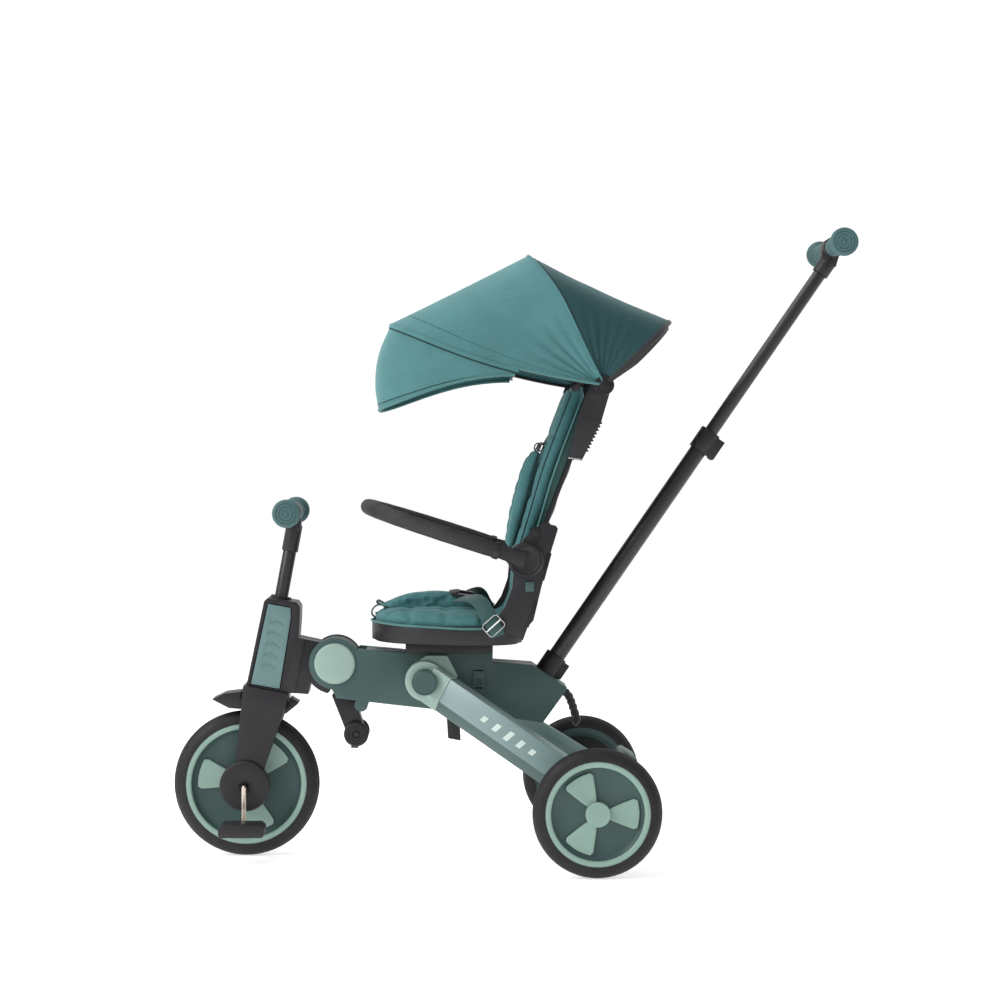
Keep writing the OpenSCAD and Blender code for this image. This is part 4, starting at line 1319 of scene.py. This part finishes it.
def waist_buckles():
    """Closed side-release buckles on the waist piece, and the mesh patch between them."""
    plan = [(-17, -4), (-14, 0), (10, 1.5), (15, -1), (15, -5), (-15, -6)]
    slab("waist_buckle", plan, -62, -44, "gloss", "seat", on_waist, 1.0)
    slab("waist_buckle_right", plan, 44, 62, "gloss", "seat", on_waist, 1.0)
    prong = [(-27, -4), (-27, -1), (-16, 0), (-16, -5)]
    for y in (-60, -49):
        slab(f"buckle_prong_{-y}", prong, y, y + 3.5, "black", "seat", on_waist, 0.5)
    patch = [(-94, 430), (-84, 434), (-86, 438), (-102, 436)]
    slab("mesh_patch", patch, -44, 44, "net", "seat", None, 0.5)


def ladder_lock(side):
    """Bent metal frame with a middle bar, on the waist strap."""
    lean = math.radians(48)
    c = Vector((-31, side * 148, 390))
    along = Vector((math.cos(lean), 0, -math.sin(lean)))
    across = Vector((math.sin(lean), 0, math.cos(lean)))
    w, h = 15.5, 12.0
    corners = [(-h, -w), (-h, w), (h, w), (h, -w)]
    path = []
    for (a0, b0), (a1, b1) in zip(corners, corners[1:] + corners[:1]):
        for t in (0.12, 0.5, 0.88):
            path.append(c + along * (a0 + (a1 - a0) * t) + across * (b0 + (b1 - b0) * t))
    rim = swept("lock", path, strap_profile(3.4, 2.4), "buckle", None, across=(0, 1, 0), closed=True)
    middle_line = [c + across * (w * q) + Vector((0, side * 0.6, 0)) for q in (-0.95, 0, 0.95)]
    bar = swept("lock_bar", middle_line, circle_profile(1.5), "buckle", None)
    joined(f"ladder_lock_{side_name(side)}", [rim, bar], "seat")


def back_line(z):
    """X of the backrest pad's face in the leaning back's own frame, at a height along it."""
    points = ((-20, 18), (20, 20), (83, 24.5), (150, 30), (300, 29.5))
    for (z0, x0), (z1, x1) in zip(points, points[1:]):
        if z <= z1:
            return -(x0 + (x1 - x0) * max(0, z - z0) / (z1 - z0))
    return -points[-1][1]


BACK_THICK = 27
BACK_TURN = Matrix.Rotation(math.radians(-BACK_LEAN), 3, "Y")


def in_lean(p):
    """(x, z) of a part point in the leaning back's own frame."""
    x, _, z = BACK_TURN @ (p - HUB)
    return x, z


def faces_child(normal):
    return max(0.0, -(BACK_TURN @ normal).x)


def backrest_cushion():
    heights = [2, 40, 83, 120, 150, 200, 250, 284]
    front = [(back_line(z) + 3, z) for z in heights]
    back = [(back_line(z) + BACK_THICK - 3, z) for z in reversed(heights)]
    outline = [(-12, -7)] + front + [(-20, 296), (-8, 298)] + back + [(2, -6)]
    pad = slab("backrest_cushion", outline, -93, 93, "fabric", None, on_back, 0)
    puffed(pad, 5.5, 3.5, 4.5)

    def shape(p, normal):
        x, z = in_lean(p)
        face = faces_child(normal)
        gusset = abs(normal.y)
        lines = sum(groove(z - k, 4.5, 2.6) for k in (48, 100, 152, 204)) + groove(p.y, 4.5, 2.6)
        front_edge = math.exp(-((x - back_line(z) - 3) / 5) ** 2)
        creases = (math.sin(z * 0.30) * 0.8 + math.sin(z * 0.13 + 2) * 0.6) * front_edge * gusset
        return lines * face + creases + noise.noise(p * 0.045) * 0.9

    finished_pad(pad, shape, "backrest")
    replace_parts(pad, "backrest_pad")
    gusset = [(back_line(z) + BACK_THICK - 2, z) for z in (6, 83, 150, 200, 262)]
    gusset += [(8.5, z) for x, z in reversed(gusset)]
    for side in (-1, 1):
        for tag, x, radius, look in (("front", 5.0, 1.2, "piping"),
                                     ("rear", BACK_THICK - 2.5, 2.0, "light_piping")):
            line = [on_back(back_line(z) + x, side * 94.6, z) for z in (-2, 30, 80, 130, 180, 230, 276)]
            swept(f"back_piping_{tag}_{side_name(side)}", smooth_path(line, 5), circle_profile(radius), look,
                  "backrest")
        # The side gussets take the darker teal webbing colour as painted shade on the pad's sides.
        slab(f"back_gusset_{side_name(side)}", gusset, side * 91 - 3, side * 91 + 3, "strap", "backrest",
             on_back)


def shoulder_cushion(side):
    """Shoulder pad with sewn channels, its piping, and the webbing and ring above it."""
    tag = side_name(side)
    profile = [(-22, 12), (-31, 6), (-37, 22), (-42, 50), (-46, 82), (-50, 116), (-52, 144), (-47, 166),
               (-40, 172), (-34, 168), (-33.5, 146), (-30, 110), (-27, 78), (-24, 44)]
    y0, y1 = sorted((side * 24, side * 66))
    pad = slab(f"shoulder_cushion_{tag}", smooth_outline(profile), y0, y1, "fabric", None, on_back, 0)
    puffed(pad, 4.5, 2.5, 2.0)

    def shape(p, normal):
        x, z = in_lean(p)
        channels = sum(groove(z - k, 2.6, 1.3) for k in range(28, 165, 22))
        return channels * (0.3 + faces_child(normal)) + noise.noise(p * 0.05) * 0.8

    finished_pad(pad, shape, "backrest")
    if side < 0:
        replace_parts(pad, "shoulder_pads")
    edge = [(-25, 12), (-27, 40), (-30.5, 80), (-34, 116), (-37.5, 146), (-38.5, 168)]
    web = [(-38, 158), (-41, 172), (-38, 182), (-32, 188), (-30, 200)]
    ring = [(-39 + 5 * math.cos(a), 178 + 7 * math.sin(a)) for a in (math.tau * k / 20 for k in range(20))]
    for name, points, y, profile, look, settings in (
            ("piping", edge, 67.5, circle_profile(1.4), "piping", {}),
            ("web", web, 45, strap_profile(25, 1.8), "webbing", {"across": (0, 1, 0)}),
            ("ring", ring, 60, circle_profile(1.1), "gloss", {"closed": True})):
        path = [on_back(x, side * y, z) for x, z in points]
        swept(f"shoulder_{name}_{tag}", path if name == "ring" else smooth_path(path, 6), profile, look,
              "backrest", **settings)


def back_cover():
    """Dark cover behind the backrest's panel, bulging between its fastenings."""
    rows, cols = 34, 26
    verts = []
    for i in range(rows):
        z = 50 + 136 * i / (rows - 1)
        for j in range(cols):
            y = -88 + 176 * j / (cols - 1)
            rim = math.sin(math.pi * i / (rows - 1)) ** 0.5 * math.sin(math.pi * j / (cols - 1)) ** 0.5
            bulge = (3 + 2.5 * math.sin(z * 0.085 + 0.6)) * rim
            verts.append(on_back(15.2 + bulge, y, z))
    cover = piece("back_cover", verts, grid_faces(rows, cols), "webbing", None, 60)
    thickened(cover, 1.5)
    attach(cover, "backrest")


seat_cushion()
seat_liner()
lap_piece()
seat_straps()
waist_buckles()
backrest_cushion()
both(shoulder_cushion)
back_cover()

# ---------------------------------------------------------------- webbing under the beam

def tail_width(t):
    """Gathers along the loop, and a taper at its end."""
    return 0.82 + 0.2 * abs(math.sin(t * 22)) - 1.25 * max(0, t - 0.9)


def tail_loop():
    """Elastic loop gathered at the beam's tail, and the flat pull strap under the beam."""
    run = ((90, 0, 270), (97, 0, 262), (102, 0, 250), (106, 0, 237), (110, 0, 222), (104, 0, 216))
    loop = swept("tail_elastic", smooth_path(run), [(x, y * 0.85) for x, y in circle_profile(7.5, 14)],
                 "webbing", "frame", scale=tail_width)
    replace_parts(loop, "webbing_loops")
    strap = swept("pull_strap", [(-96 + 0.6 * k, 0, 241 - 10 * k) for k in range(6)],
                  strap_profile(21, 1.8), "webbing", "frame", across=(1, 0, 0))
    for v in strap.data.vertices:
        if v.co.z < 194 * MM:  # the slanted cut at the strap's end
            v.co.z += (v.co.x / MM + 96) * -0.25 * MM


tail_loop()

# ---------------------------------------------------------------- studio

def aimed(obj, place, direction):
    obj.location = place
    obj.rotation_euler = direction.to_track_quat("-Z", "Y").to_euler()


def add_camera():
    data = bpy.data.cameras.new("camera")
    data.sensor_width = 36
    data.lens = 80.6
    camera = linked("camera", data)
    yaw, pitch = math.radians(1.356), math.radians(1.151)
    aimed(camera, mm(-105, -3707, 662),
          Vector((math.sin(yaw) * math.cos(pitch), math.cos(yaw) * math.cos(pitch), -math.sin(pitch))))
    scene.camera = camera


def add_floor(half_size):
    mesh = bpy.data.meshes.new("floor")
    corners = ((-1, -1), (1, -1), (1, 1), (-1, 1))
    mesh.from_pydata([(x * half_size, y * half_size, 0) for x, y in corners], [], [(0, 1, 2, 3)])
    paper = Look("floor_paper")
    mesh.materials.append(paper.apply({"Base Color": (0.90, 0.90, 0.90), "Roughness": 0.9,
                                       "Specular IOR Level": 0.1, "Emission Color": (1, 1, 1),
                                       "Emission Strength": 0.56}))
    linked("floor", mesh)


def add_world():
    """White surroundings, brighter behind the tricycle than on the camera's side."""
    scene.world = bpy.data.worlds.new("studio")
    scene.world.use_nodes = True
    tree = scene.world.node_tree
    background = tree.nodes["Background"]
    around = node(tree, "ShaderNodeTexCoord", {}).outputs["Generated"]
    depth = node(tree, "ShaderNodeSeparateXYZ", {0: around}).outputs["Y"]
    feed(tree, (1, 1, 1), background.inputs["Color"])
    feed(tree, spread(tree, depth, 0.42, 1.06, 0.45, 0.92), background.inputs["Strength"])


def add_light(name, place, aim, size_m, watts):
    data = bpy.data.lights.new(name, "AREA")
    data.shape = "RECTANGLE"
    data.size, data.size_y = size_m
    data.energy = watts
    aimed(linked(name, data), place, Vector(aim) - Vector(place))


scene.view_settings.view_transform = "Standard"
add_camera()
add_floor(60.0)
add_world()
add_light("overhead", (-0.8, 0.2, 3.0), (-0.1, 0, 0.4), (2.4, 2.4), 40)
add_light("key", (-2.9, -1.7, 2.3), (-0.1, 0, 0.5), (1.6, 2.0), 80)
add_light("edge", (2.6, 1.6, 1.9), (0.2, 0, 0.5), (1.0, 1.8), 16)
